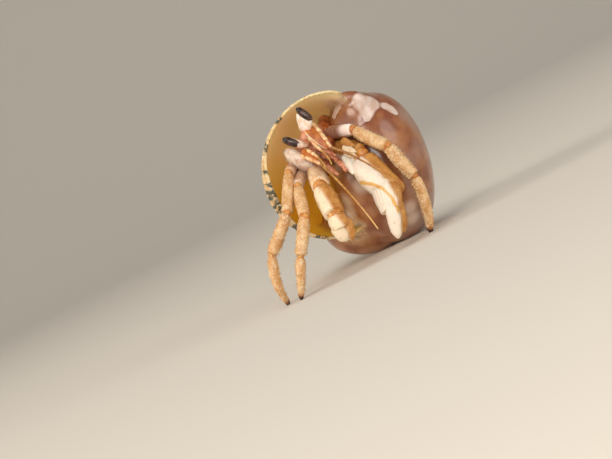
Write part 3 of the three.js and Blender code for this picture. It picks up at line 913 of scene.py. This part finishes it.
def make_joint(name, spec, other, material, slot):
    """The soft skin between two plates."""
    way = unit(unit(spec["end"] - spec["start"]) + unit(other["end"] - other["start"]))
    wide, thick = (share * min(spec[size] * spec["profile"][-1], other[size] * 0.9)
                   for size, share in JOINT_SHARES.items())
    reach = JOINT_REACH * wide * way
    rings, s = plate_rings(spec["end"] - reach, spec["end"] + reach, wide, thick, PROFILE["joint"],
                           spec["hinge"], caps=(0.2, 0.2))
    folds = 0.02 * np.sin(s * 40)[:, None, None]
    verts, faces = skin(rings + grid_normals(rings) * folds)
    finish(make_mesh(name, verts, faces), material, slot)


# Two coats, gathered while the pieces are made: place, direction and length of each hair.
bristles = []                               # amber, on plates and mouthparts
down = []                                   # pale, on the right gill cover
HAIR_RINGS = ((-0.15, 0.018), (0.5, 0.013))     # share of the length, radius in mm
HAIR_SAG = 0.12                             # share of the length
UV_SPOT = 0.0015                            # how much of the bake's picture each hair takes


def add_hairs(places, normals, along, hairs, seed):
    share, length = hairs
    rng = np.random.default_rng(seed + 900)
    for place, normal in zip(places, normals):
        if rng.random() < share:
            lean = unit(normal * 0.8 + along * rng.uniform(0.5, 1.2) + rng.normal(0, 0.2, 3))
            bristles.append((place, lean, length * rng.uniform(0.6, 1.2)))


def make_coat(name, coat, material, slot):
    """One mesh of three-sided hairs. Hairs that start close to the floor are left out."""
    verts, faces, corners = [], [], []
    low, high = (np.array(c) / MM + MIDDLE for c in cad_box)
    for place, way, length in coat:
        if place[2] < 2 * length:
            continue
        side = unit(np.cross(way, [0.3, 0.5, 0.8]))
        up = np.cross(way, side)
        first = len(verts)
        for share, radius in HAIR_RINGS:
            middle = place + way * length * share - HAIR_SAG * length * max(share, 0) ** 2 * UP
            for a in TURN * np.arange(3) / 3:
                verts.append(middle + radius * (math.cos(a) * side + math.sin(a) * up))
        verts.append(place + way * length - HAIR_SAG * length * UP)
        faces.append((first + 2, first + 1, first))
        for k in range(3):
            j = (k + 1) % 3
            faces.append((first + k, first + j, first + 3 + j, first + 3 + k))
            faces.append((first + 3 + k, first + 3 + j, first + 6))
        spot = (place - low) / (high - low)
        corners += [(spot[0] + UV_SPOT * math.cos(i), spot[2] + UV_SPOT * math.sin(i)) for i in range(7)]
    obj = make_mesh(name, verts, faces)
    layer = obj.data.uv_layers.new(name="OFBake")
    for loop in obj.data.loops:
        layer.data[loop.index].uv = corners[loop.vertex_index]
    finish(obj, material, slot)


def horn_material(name, base, dark, light, joint, pale, joints, rough):
    """Horny plates: mottled, with paler grains, dark pits, amber ends, dark toe tips and painted shade at
    the roots that lie in the dark.
    """
    p = Paint(name)
    color = p.blend(p.clouds(0.8, 4, 0.35, 0.65), base, dark)
    color = p.blend(p.times(p.clouds(0.16, 2, 0.52, 0.7), 0.4), color, "#a86a30")
    color = p.blend(p.times(p.attribute("pale"), 0.92), color, pale)
    # Grains and pits hardly show on the pale side.
    bare = p.math("SUBTRACT", 1.0, p.times(p.attribute("pale"), 0.85))
    grain = p.times(p.ramp(p.attribute("grain"), 0.15, 0.7), 0.65)
    color = p.blend(p.times(grain, bare), color, light)
    pits = p.ramp(p.cells(0.3), 0.2, 0.06)
    color = p.blend(p.times(p.times(pits, bare), 0.45), color, "#8a5423")
    color = p.blend(p.times(p.attribute("seam"), 0.85), color, "#d9a02a")
    # Painted shade: dark brown over the root of a plate that lies in the dark between the limbs.
    color = p.blend(p.times(p.attribute("deep"), 0.85), color, "#83461f")
    wander = p.times(p.noise(0.3, 2), 0.2)
    ends = p.ramp(p.math("ADD", p.attribute("joint"), wander), joints, 0.1)
    color = p.blend(p.times(ends, 0.85), color, joint)
    toe = p.attribute("toe")
    color = p.blend(p.ramp(toe, 0.95, 0.5), color, "#8a5020")
    color = p.blend(p.ramp(toe, 0.55, 0.35), color, "#24120b")
    height = p.math("SUBTRACT", p.noise(0.12, 3), p.times(pits, 0.6))
    gloss = p.ramp(p.noise(0.5, 2), 0.3, 0.7, rough - 0.1, rough + 0.1)
    return p.shade(color=color, rough=gloss, normal=p.bump(height, 0.03), soft=0.2)


def hair_material(name, color, dark):
    p = Paint(name)
    return p.shade(color=p.blend(p.clouds(0.5, 2, 0.3, 0.7), color, dark), rough=0.4)


def make_claw_scales(gold, white):
    for k, ends in enumerate(CLAW_SCALES):
        spec = plate("scale", *ends, VIEW, caps=(0.1, 0.02))
        material = white if k else gold
        make_plate(f"claw_left_scale{k + 1}", spec, material, "claw", 300 + k, height=0.015, density=3)
    spec = plate("fan", *CLAW_FAN, VIEW, caps=(0.1, 0.08))
    make_plate("claw_left_fan", spec, white, "claw", 310, height=0.01, density=3, pale=-VIEW, ridges=0.06)


def make_fingers(limb, palm, material, seed):
    for name, (wide, thick, root, end) in FINGERS[limb].items():
        root, end = palm["end"] + root, palm["end"] + end
        spec = plate("finger", root - 0.45 * unit(end - root), end, wide, thick, palm["hinge"],
                     caps=(0.1, 0.22))
        make_plate(f"{limb}_{name}_finger_skin", spec, material, "claw", seed,
                   f"{limb}_dactyl" if name == "dactyl" else None, split=limb, **FINGER_LOOK)


def leg_look(limb, spec, horn):
    """A leg plate with its ends rounded, its look and its material."""
    name = spec["name"]
    spec = spec | {"caps": TOE_CAPS if name == "dactyl" else LEG_CAPS}
    look = LEG_LOOKS[name]
    if name != "merus":
        return spec, look, horn["leg_horn"]
    more = {"deep": PAINTED_SHADE_SHARE, "pale": UP - VIEW} if limb == "leg2_left" else {}
    return spec, look | more, horn["thigh_horn"]


def claw_look(limb, spec, horn):
    """A claw plate, its look and its material. The larger claw's carpus is a gold dome, cut
    obliquely, and its palm reaches back under the dome."""
    name = spec["name"]
    look = CLAW_LOOK | {"hairs": CLAW_HAIRS[limb], "split": limb if name != "merus" else None}
    if limb == "claw_right":
        return spec, look, horn["claw_cream" if name == "merus" else "claw_tan"]
    if name == "carpus":
        end = spec["end"] + DOME_LONGER * unit(spec["end"] - spec["start"])
        spec = spec | {"end": end, "slant": DOME_SLANT, "caps": DOME_CAPS}
        look |= {"facet": 0.4, "pale_from": (0.5, -0.45)}
    if name == "palm":
        start = spec["start"] - HAND_BACK * spec["before"]
        spec = spec | {"start": start, "wide": HAND_WIDE, "profile": PROFILE["hand"]}
        look |= {"ridges": 0.045, "height": 0.02, "pale_from": (-0.6, -0.5)}
    return spec, look, horn["claw_horn"]


def make_limbs():
    horn = {name: horn_material(name, *look) for name, look in HORNS.items()}
    amber = skin_material("joint_skin", "#b26c24", "#d2974e")
    make_claw_scales(horn["claw_horn"], horn["claw_white"])
    for seed, limb in enumerate(LIMBS):
        plates = jointed(limb)
        slot, dress = ("claw", claw_look) if limb.startswith("claw") else ("leg", leg_look)
        for k, plain in enumerate(plates):
            node = f"{limb}_{plain['name']}"
            spec, look, material = dress(limb, plain, horn)
            make_plate(f"{node}_skin", spec, material, slot, seed * 10 + k, node, **look)
            if k + 1 < len(plates) and node != "claw_left_carpus":
                make_joint(f"{node}_joint", spec, plates[k + 1], amber, slot)
        if slot == "claw":
            make_fingers(limb, plates[-1], material, seed * 10 + 7)


# ------------------------------------------------------------------ head

# Ends of each body piece, then its width up and down and its thickness across.
CARAPACE = ([-1.4, 2.2, 12.0], [-2.7, -6.3, 12.9], 3.3, 4.9)
GILL_LEFT = ([0.3, -0.6, 14.2], [-0.45, -4.7, 13.55], 1.7, 1.3)
GILL_RIGHT = [[-3.7, -1.0, 11.6], [-4.1, -4.4, 11.8], [-3.85, -7.0, 12.1]]
GILL_FLAP = [0.5, 0.0, -0.86]               # the way the right cover's front edge runs
GILL_HALF = (1.75, 0.72)                    # half its width and half its thickness
GILL_HAIRS = (420, 0.24)                    # number and length
ABDOMEN_ROOT = [-2.2, 3.0, 12.0]
ABDOMEN_TURNS = [1.2, 1.6, 2.0]
ABDOMEN_OUT = 2.6
ABDOMEN_WIDE = 2.8
# Each eyestalk's root, then the two ends of the eye across its top.
EYES = {
    "left": ([-2.35, -6.2, 14.1], [-1.2, -7.6, 14.9], [-2.05, -7.6, 16.65]),
    "right": ([-2.75, -6.2, 13.0], [-3.4, -8.2, 13.3], [-4.6, -8.2, 14.6]),
}
EYE_BASE = [-2.5, -6.75, 13.65]             # where the two stalks' roots meet
CORNEA = (0.74, 0.82)                       # width and thickness
STALK_WIDE = 0.86                           # share of the eye's length
STALK_THICK = 0.72
# Feelers: start, bend and end of each stem and whip, stem width, whip widths.
FEELERS = {
    "antenna_left": ([[-1.3, -5.6, 14.6], [-0.9, -7.7, 13.2], [-0.8, -9.2, 11.7]], 0.5,
                     [[-0.8, -9.15, 11.75], [1.2, -11.9, 9.9], [2.7, -12.8, 6.7]], (0.32, 0.15)),
    "antenna_right": ([[-4.1, -5.6, 12.7], [-3.2, -7.8, 11.8], [-2.4, -9.4, 10.8]], 0.5,
                      [[-2.42, -9.35, 10.85], [-1.0, -12.2, 6.8], [-0.4, -12.8, 2.9]], (0.27, 0.12)),
    "antennule_left": ([[-2.3, -6.3, 13.9], [-2.15, -8.4, 12.9], [-1.75, -9.7, 11.9]], 0.42,
                       [[-1.77, -9.65, 11.95], [-1.4, -10.4, 11.1], [-1.5, -10.1, 10.3]], (0.26, 0.1)),
    "antennule_right": ([[-3.0, -6.3, 12.6], [-2.6, -8.4, 12.1], [-2.35, -9.5, 11.5]], 0.42,
                        [[-2.37, -9.45, 11.55], [-2.1, -10.2, 10.9], [-2.15, -10.0, 10.3]], (0.24, 0.1)),
}
WHIP_RING = 0.13                            # length of one ring of a whip
# The blade beside each antenna: ends, width, thickness and the way its width runs.
BLADES = {
    "left": ([-1.75, -6.4, 14.35], [-1.15, -9.1, 11.85], 1.5, 0.4, [1.0, -0.1, -0.45]),
    "right": ([-3.5, -6.6, 12.6], [-2.4, -9.1, 11.1], 1.0, 0.36, [0.75, 0.0, 0.6]),
}
MAXILLIPEDS = {
    "left": [[-1.0, -4.5, 10.9], [-0.6, -8.2, 10.3], [-0.5, -8.8, 9.0]],
    "right": [[-2.1, -4.5, 10.8], [-1.8, -8.0, 10.1], [-1.4, -8.4, 9.0]],
}
# Segments of stems and mouthparts: where each starts and ends along the curve, its profile
# and how much of it closes round at each end. Then their widths: shares of the stem's, and mm.
STEM_PARTS = ((0.0, 0.42), (0.4, 0.72), (0.7, 1.0)), [0.75, 0.95, 1, 1, 1, 0.8], (0.15, 0.1)
STEM_WIDE = np.array([1.25, 1.05, 0.85])
JAW_PARTS = ((0.0, 0.5), (0.48, 0.76), (0.74, 1.0)), [0.7, 0.95, 1, 1, 0.9, 0.7], (0.12, 0.14)
JAW_WIDE = (0.85, 0.72, 0.5)
JAW_HAIRS = (26, 0.3)
# Where the smaller mouthparts start and end, and how far each strays from there.
MOUTHPARTS = 9
MOUTHPART_ROOTS = np.array([[-1.5, -6.4, 11.9], [0.8, 0.4, 0.7]])
MOUTHPART_TIPS = np.array([[-0.9, -8.4, 10.9], [0.7, 0.4, 0.8]])
CHEST = [-1.6, -1.0, 11.7], [-1.6, -4.0, 11.6], [-1.6, -6.0, 11.6]
CHEST_HALF = (2.1, 1.3)
PROFILE |= {
    "body": [0.72, 0.9, 1, 1, 0.97, 0.9, 0.8, 0.62],
    "gill_left": [0.6, 0.9, 1, 0.8, 0.45, 0.2],
    "eye": [0.5, 0.82, 0.97, 1, 0.97, 0.82, 0.5],
    "stalk": [0.62, 0.72, 0.84, 0.95, 1.0, 0.96],
    "blade": [0.95, 1, 0.92, 0.76, 0.56, 0.36],
}


def tube_rings(centres, wide, tall, sides, top=UP):
    """Rings along a curve; wide is a half width across it, tall along `top`."""
    along = np.gradient(centres, axis=0)
    along /= np.linalg.norm(along, axis=1, keepdims=True)
    y = top - (along @ top)[:, None] * along
    y /= np.linalg.norm(y, axis=1, keepdims=True)
    return ovals(centres, np.cross(y, along), y, wide, tall, sides)


def wrap(name, rings, material, slot, *nodes, s=None):
    """A mesh over rings. Stores on each point how far along it lies, and how near it is to the
    two edges that lie along the rings' own x direction."""
    rows, sides = rings.shape[:2]
    s = np.linspace(0, 1, rows) if s is None else s
    obj = make_mesh(name, *skin(rings))
    edge = np.tile(np.abs(np.cos(TURN * np.arange(sides) / sides)), rows)
    paint(obj, along=np.append(np.repeat(s, sides), [0, 1]), edge=np.append(edge, [0, 0]))
    finish(obj, material, slot, *nodes)


def soft_body(node, ends, profile, material, seed):
    start, end, wide, thick = ends
    rings, s = plate_rings(np.array(start), np.array(end), wide, thick, profile, LEFT, caps=(0.06, 0.12))
    rings = lumpy(rings, 0.06, (0.9, seed, 1), (0.3, seed + 1, 0.4))
    wrap(f"{node}_skin", rings, material, "flesh", node, s=s)


def segments(name, points, parts, widths, material, slot, node, main):
    """A row of stiff segments along a curve; number `main` replaces the node. Returns the
    rings of each one."""
    cuts, profile, caps = parts
    found = []
    for k, (cut, wide) in enumerate(zip(cuts, widths)):
        start, end = bezier(*points, cut)
        rings, s = plate_rings(start, end, wide, wide * 0.8, profile, LEFT, caps=caps)
        wrap(f"{name}{k + 1}", rings, material, slot, *([node] if k == main else []), s=s)
        found.append(rings)
    return found


def hair_over(rings, hairs, seed, toward, coat):
    """Scatters short hairs over a skin, adding them to a coat."""
    count, length = hairs
    rng = np.random.default_rng(seed)
    normals = grid_normals(rings)
    rows = rng.integers(1, rings.shape[0] - 1, count)
    columns = rng.integers(0, rings.shape[1], count)
    for row, column in zip(rows, columns):
        normal = normals[row, column]
        way = unit(normal + 0.7 * np.asarray(toward) + rng.normal(0, 0.35, 3))
        coat.append((rings[row, column], way, length * rng.uniform(0.5, 1.2)))


def make_gill_right(material):
    """The pale, downy cover on the crab's right."""
    s = np.linspace(0, 1, 60)
    girth = spline([0.6, 0.8, 0.95, 1, 0.9], s) * rounded(s, 0.1, 0.22)
    flap = unit(GILL_FLAP)
    across = unit(np.cross(flap, [0, 1, 0]))
    wide, thick = GILL_HALF
    rings = ovals(spline(GILL_RIGHT, s), flap, across, wide * girth, thick * girth, 60)
    rings = lumpy(rings, 0.05, (0.7, 51, 1), (0.25, 52, 0.5))
    wrap("gill_cover_right_skin", rings, material, "flesh", "gill_cover_right")
    hair_over(rings[25:], GILL_HAIRS, 61, [0, -0.6, 0], down)


def make_abdomen(material):
    """The soft body, running on into the shell's hollow."""
    middles = spiral(np.array(ABDOMEN_TURNS), REACH + ABDOMEN_OUT)[0]
    s = np.linspace(0, 1, 90)
    curve = spline(np.vstack([ABDOMEN_ROOT, middles]), s)
    folds = 1 + 0.025 * np.sin(s * 46)
    girth = spline([0.75, 0.95, 1, 0.9, 0.72, 0.5], s) * folds * rounded(s, 0.06, 0.12)
    girth *= ABDOMEN_WIDE / 2
    rings = tube_rings(curve, girth, girth, 48, np.array([0.0, 1.0, 0.0]))
    wrap("abdomen_skin", rings, material, "flesh", "abdomen")


def make_spine(side, root, along, span, material):
    """A small spine that lies on an eyestalk's root."""
    aside = span * (1 if side == "left" else -1)
    start = root + 0.25 * along + 0.3 * aside
    tip = start + 0.95 * along - 0.15 * aside + 0.3 * UP
    s = np.linspace(0, 1, 24)
    taper = mix(0.2, 0.03, s) * rounded(s, 0.15, 0.05)
    rings = tube_rings(mix(start, tip, s[:, None]), taper * 1.3, taper, 14)
    wrap(f"eye_spine_{side}", rings, material, "eyestalk")


def make_eyes(skin_look):
    eye = eye_material()
    stalk = skin_material("stalk", "#f5ece2", "#e8c9ae", (0.4, 3, 0.4, 0.65), (0.1, 2, 0.008),
                          ("along", 0.35, 0.0, "#cf8f66"), rough=0.35, coat_rough=0.15, soft=0.4)
    for side, ends in EYES.items():
        root, low, high = np.array(ends)
        middle = (low + high) / 2
        along = unit(middle - root)
        span = square_to(high - low, along)
        hinge = np.cross(along, span)
        rings, s = plate_rings(low, high, *CORNEA, PROFILE["eye"], hinge, caps=(0.14, 0.14))
        wrap(f"cornea_{side}_skin", rings, eye, "eye", f"cornea_{side}", s=s)
        wide = STALK_WIDE * np.linalg.norm(high - low)
        rings, s = plate_rings(root, middle - 0.02 * along, wide, STALK_THICK, PROFILE["stalk"], hinge,
                               caps=(0.05, 0.1), square=0.85)
        rings = lumpy(rings, 0.025, (0.35, 71, 1))
        wrap(f"eyestalk_{side}_skin", rings, stalk, "eyestalk", f"eyestalk_{side}", s=s)
        make_spine(side, root, along, span, skin_look)
    s = np.linspace(0, 1, 30)
    girth = 0.5 * rounded(s, 0.2, 0.2)
    curve = spline([EYES["left"][0], EYE_BASE, EYES["right"][0]], s)
    wrap("eye_base", tube_rings(curve, girth, girth, 28), skin_look, "flesh")


def whip_rings(points, widths):
    """A feeler of many short rings, thinning to its tip."""
    length = np.linalg.norm(np.diff(bezier(*points, np.linspace(0, 1, 40)), axis=0), axis=1).sum()
    count = int(length / WHIP_RING)
    s = np.linspace(0, 1, count * 5 + 1)
    swell = 1 + 0.09 * np.cos(TURN * s * count)
    radius = mix(*widths, s ** 0.8) / 2 * swell * rounded(s, 0.01, 0.02)
    return tube_rings(bezier(*points, s), radius, radius, 12), s


def make_feelers():
    stem_look = stem_material()
    dark = whip_material("whip_dark", "#ac7632", "#7c4c1e", "#b07c38")
    gold = whip_material("whip_gold", "#c08a34", "#8d5d1c", "#e0b468")
    for name, (stem, wide, whip, widths) in FEELERS.items():
        stem_name = f"{name}_stem"
        segments(f"{name}_segment", stem, STEM_PARTS, wide * STEM_WIDE, stem_look, "feeler", stem_name, 1)
        rings, s = whip_rings(whip, widths)
        # The right antennule's whip isn't a CAD solid.
        nodes = [] if name == "antennule_right" else [f"{name}_whip"]
        wrap(f"{name}_rings", rings, dark if name == "antenna_left" else gold, "feeler", *nodes, s=s)


def make_blades():
    """The orange blade with a cream rim beside each antenna."""
    look = skin_material("antenna_scale", "#a8551c", "#c97a36", (0.5, 4, 0.3, 0.7), (0.14, 3, 0.015),
                         ("edge", 0.82, 0.97, "#f6dfba"), rough=0.3, coat=0.4, coat_rough=0.1, soft=0.4)
    for side, (start, end, wide, thick, across) in BLADES.items():
        start, end = np.array(start), np.array(end)
        along = unit(end - start)
        hinge = np.cross(along, square_to(np.array(across), along))
        rings, s = plate_rings(start, end, wide, thick, PROFILE["blade"], hinge, caps=(0.1, 0.1))
        wrap(f"antenna_scale_{side}", rings, look, "feeler", s=s)


def make_mouth(skin_look):
    for seed, (side, points) in enumerate(MAXILLIPEDS.items()):
        name = f"maxilliped_{side}"
        made = segments(f"{name}_", points, JAW_PARTS, JAW_WIDE, skin_look, "flesh", name, 0)
        for k, rings in enumerate(made):
            hair_over(rings[len(rings) // 3:], JAW_HAIRS, 80 + 3 * seed + k, [0.2, -0.8, -0.3], bristles)
    # Smaller mouthparts fill the middle between the feelers and the claws.
    rng = np.random.default_rng(5)
    s = np.linspace(0, 1, 26)
    for k in range(MOUTHPARTS):
        start, tip = (place + rng.uniform(-1, 1, 3) * stray
                      for place, stray in (MOUTHPART_ROOTS, MOUTHPART_TIPS))
        bend = (start + tip) / 2 + 0.35 * UP
        radius = rng.uniform(0.14, 0.26) * spline([0.7, 1, 0.9, 0.5, 0.2], s) * rounded(s, 0.1, 0.1)
        rings = tube_rings(bezier(start, bend, tip, s), radius, radius * 0.8, 16)
        wrap(f"mouthpart_{k + 1}", rings, skin_look, "flesh")


def make_chest(material):
    """The body between the limbs' roots, in a dark red-brown skin that is painted shade."""
    s = np.linspace(0, 1, 50)
    girth = spline([0.8, 1, 1, 0.9, 0.7], s) * rounded(s, 0.1, 0.18)
    wide, tall = CHEST_HALF
    rings = ovals(bezier(*CHEST, s), LEFT, UP, wide * girth, tall * girth, 60)
    wrap("chest_in_painted_shade", lumpy(rings, 0.12, (0.8, 91, 1)), material, "flesh")


def eye_material():
    p = Paint("eye")
    color = p.blend(p.clouds(0.28, 2, 0.4, 0.6), "#23120f", "#4a2b22")
    return p.shade(color=color, rough=0.22, coat=0.35, coat_rough=0.08, specular=0.35,
                   normal=p.bump(p.cells(0.05), 0.006))


def stem_material():
    """Pale segments with amber ends."""
    p = Paint("stem")
    color = p.blend(p.clouds(0.35, 3, 0.35, 0.65), "#f3d9b0", "#dea066")
    ends = p.math("ABSOLUTE", p.math("SUBTRACT", p.attribute("along"), 0.5))
    color = p.blend(p.ramp(ends, 0.43, 0.5), color, "#b9641f")
    return p.shade(color=color, rough=0.32, coat=0.3, coat_rough=0.1, soft=0.35,
                   normal=p.bump(p.noise(0.12, 2), 0.01))


def whip_material(name, color, dark, tip):
    return skin_material(name, color, dark, (0.3, 2, 0.4, 0.6), None, ("along", 0.5, 1.0, tip), rough=0.3,
                         coat_rough=0.1, soft=0.15)


def gill_material():
    p = Paint("gill_cover")
    tone = p.blend(p.clouds(0.5, 4, 0.35, 0.65), "#e6d8cb", "#cfae97")
    tone = p.blend(p.clouds(0.18, 2, 0.6, 0.75), tone, "#a87c66")
    return p.shade(color=tone, rough=0.5, soft=0.4, normal=p.bump(p.noise(0.12, 4), 0.03))


def make_head():
    pink = skin_material("pink_skin", "#d99c7c", "#b3633a")
    # Painted shade: the chest and the left gill cover lie in shadow, so their skin is a dark red-brown.
    chest_in_painted_shade = skin_material("chest_in_painted_shade", "#7a3515", "#b5642c", (0.7, 4, 0.35, 0.65), (0.2, 3, 0.03), rough=0.35)
    soft_body("carapace", CARAPACE, PROFILE["body"], pink, 31)
    soft_body("gill_cover_left", GILL_LEFT, PROFILE["gill_left"], chest_in_painted_shade, 41)
    make_gill_right(gill_material())
    make_abdomen(pink)
    make_eyes(pink)
    make_feelers()
    make_blades()
    make_mouth(pink)
    make_chest(chest_in_painted_shade)


# ------------------------------------------------------------------ stage

FLOOR_FRONT, FLOOR_HALF, WALL_TOP = -0.6, 1.2, 1.2      # metres
BEND = 0.25                                 # where the floor starts to curve up, and its radius
LIT = Vector((0, 0, 0.008))                 # what the lamps point at
# Lamps: place and width in metres, power in watts and colour.
LAMPS = {
    "key": ((-0.08, -0.26, 0.24), 0.14, 0.33, "#fff6ec"),
    "front": ((0.30, -0.25, 0.09), 0.26, 0.42, "#fff8f0"),
    "fill": ((0.03, -0.32, 0.05), 0.16, 0.48, "#fff8f0"),
    "left": ((-0.26, -0.04, 0.10), 0.16, 0.42, "#fff2e0"),
    "top": ((0.02, 0.06, 0.35), 0.3, 0.26, "#ffffff"),
}


def make_stage():
    """A pale floor that curves up into a backdrop far behind."""
    turns = np.linspace(0.1, math.pi / 2, 16)
    arc = [(BEND + BEND * math.sin(a), BEND - BEND * math.cos(a)) for a in turns]
    profile = [(FLOOR_FRONT, 0.0), (BEND, 0.0), *arc, (2 * BEND, WALL_TOP)]
    verts = [(x, y, z) for y, z in profile for x in (-FLOOR_HALF, FLOOR_HALF)]
    faces = [(2 * i, 2 * i + 1, 2 * i + 3, 2 * i + 2) for i in range(len(profile) - 1)]
    mesh = bpy.data.meshes.new("floor")
    mesh.from_pydata(verts, [], faces)
    mesh.polygons.foreach_set("use_smooth", [True] * len(faces))
    mesh.materials.append(Paint("floor").shade(color="#d9d2c6", rough=0.85))
    floor = link("floor", mesh)


def make_lights():
    for name, (place, size, power, color) in LAMPS.items():
        data = bpy.data.lights.new(name, "AREA")
        data.shape = "DISK"
        data.size = size
        data.energy = power
        data.color = rgb(color)[:3]
        lamp = link(name, data)
        lamp.location = place
        lamp.rotation_euler = (LIT - Vector(place)).to_track_quat("-Z", "Y").to_euler()
    world = bpy.data.worlds.new("studio")
    bpy.context.scene.world = world
    world.use_nodes = True
    sky = world.node_tree.nodes["Background"].inputs
    sky["Color"].default_value = rgb("#eff0f2")
    sky["Strength"].default_value = 0.35
    bpy.context.scene.view_settings.view_transform = "Standard"


make_camera()
make_stage()
make_lights()
make_shell()
make_limbs()
make_head()
make_coat("bristles", bristles, hair_material("bristle", "#b8803c", "#8d5a26"), "leg")
make_coat("gill_down", down, hair_material("down", "#eadfd2", "#d2b8a2"), "flesh")
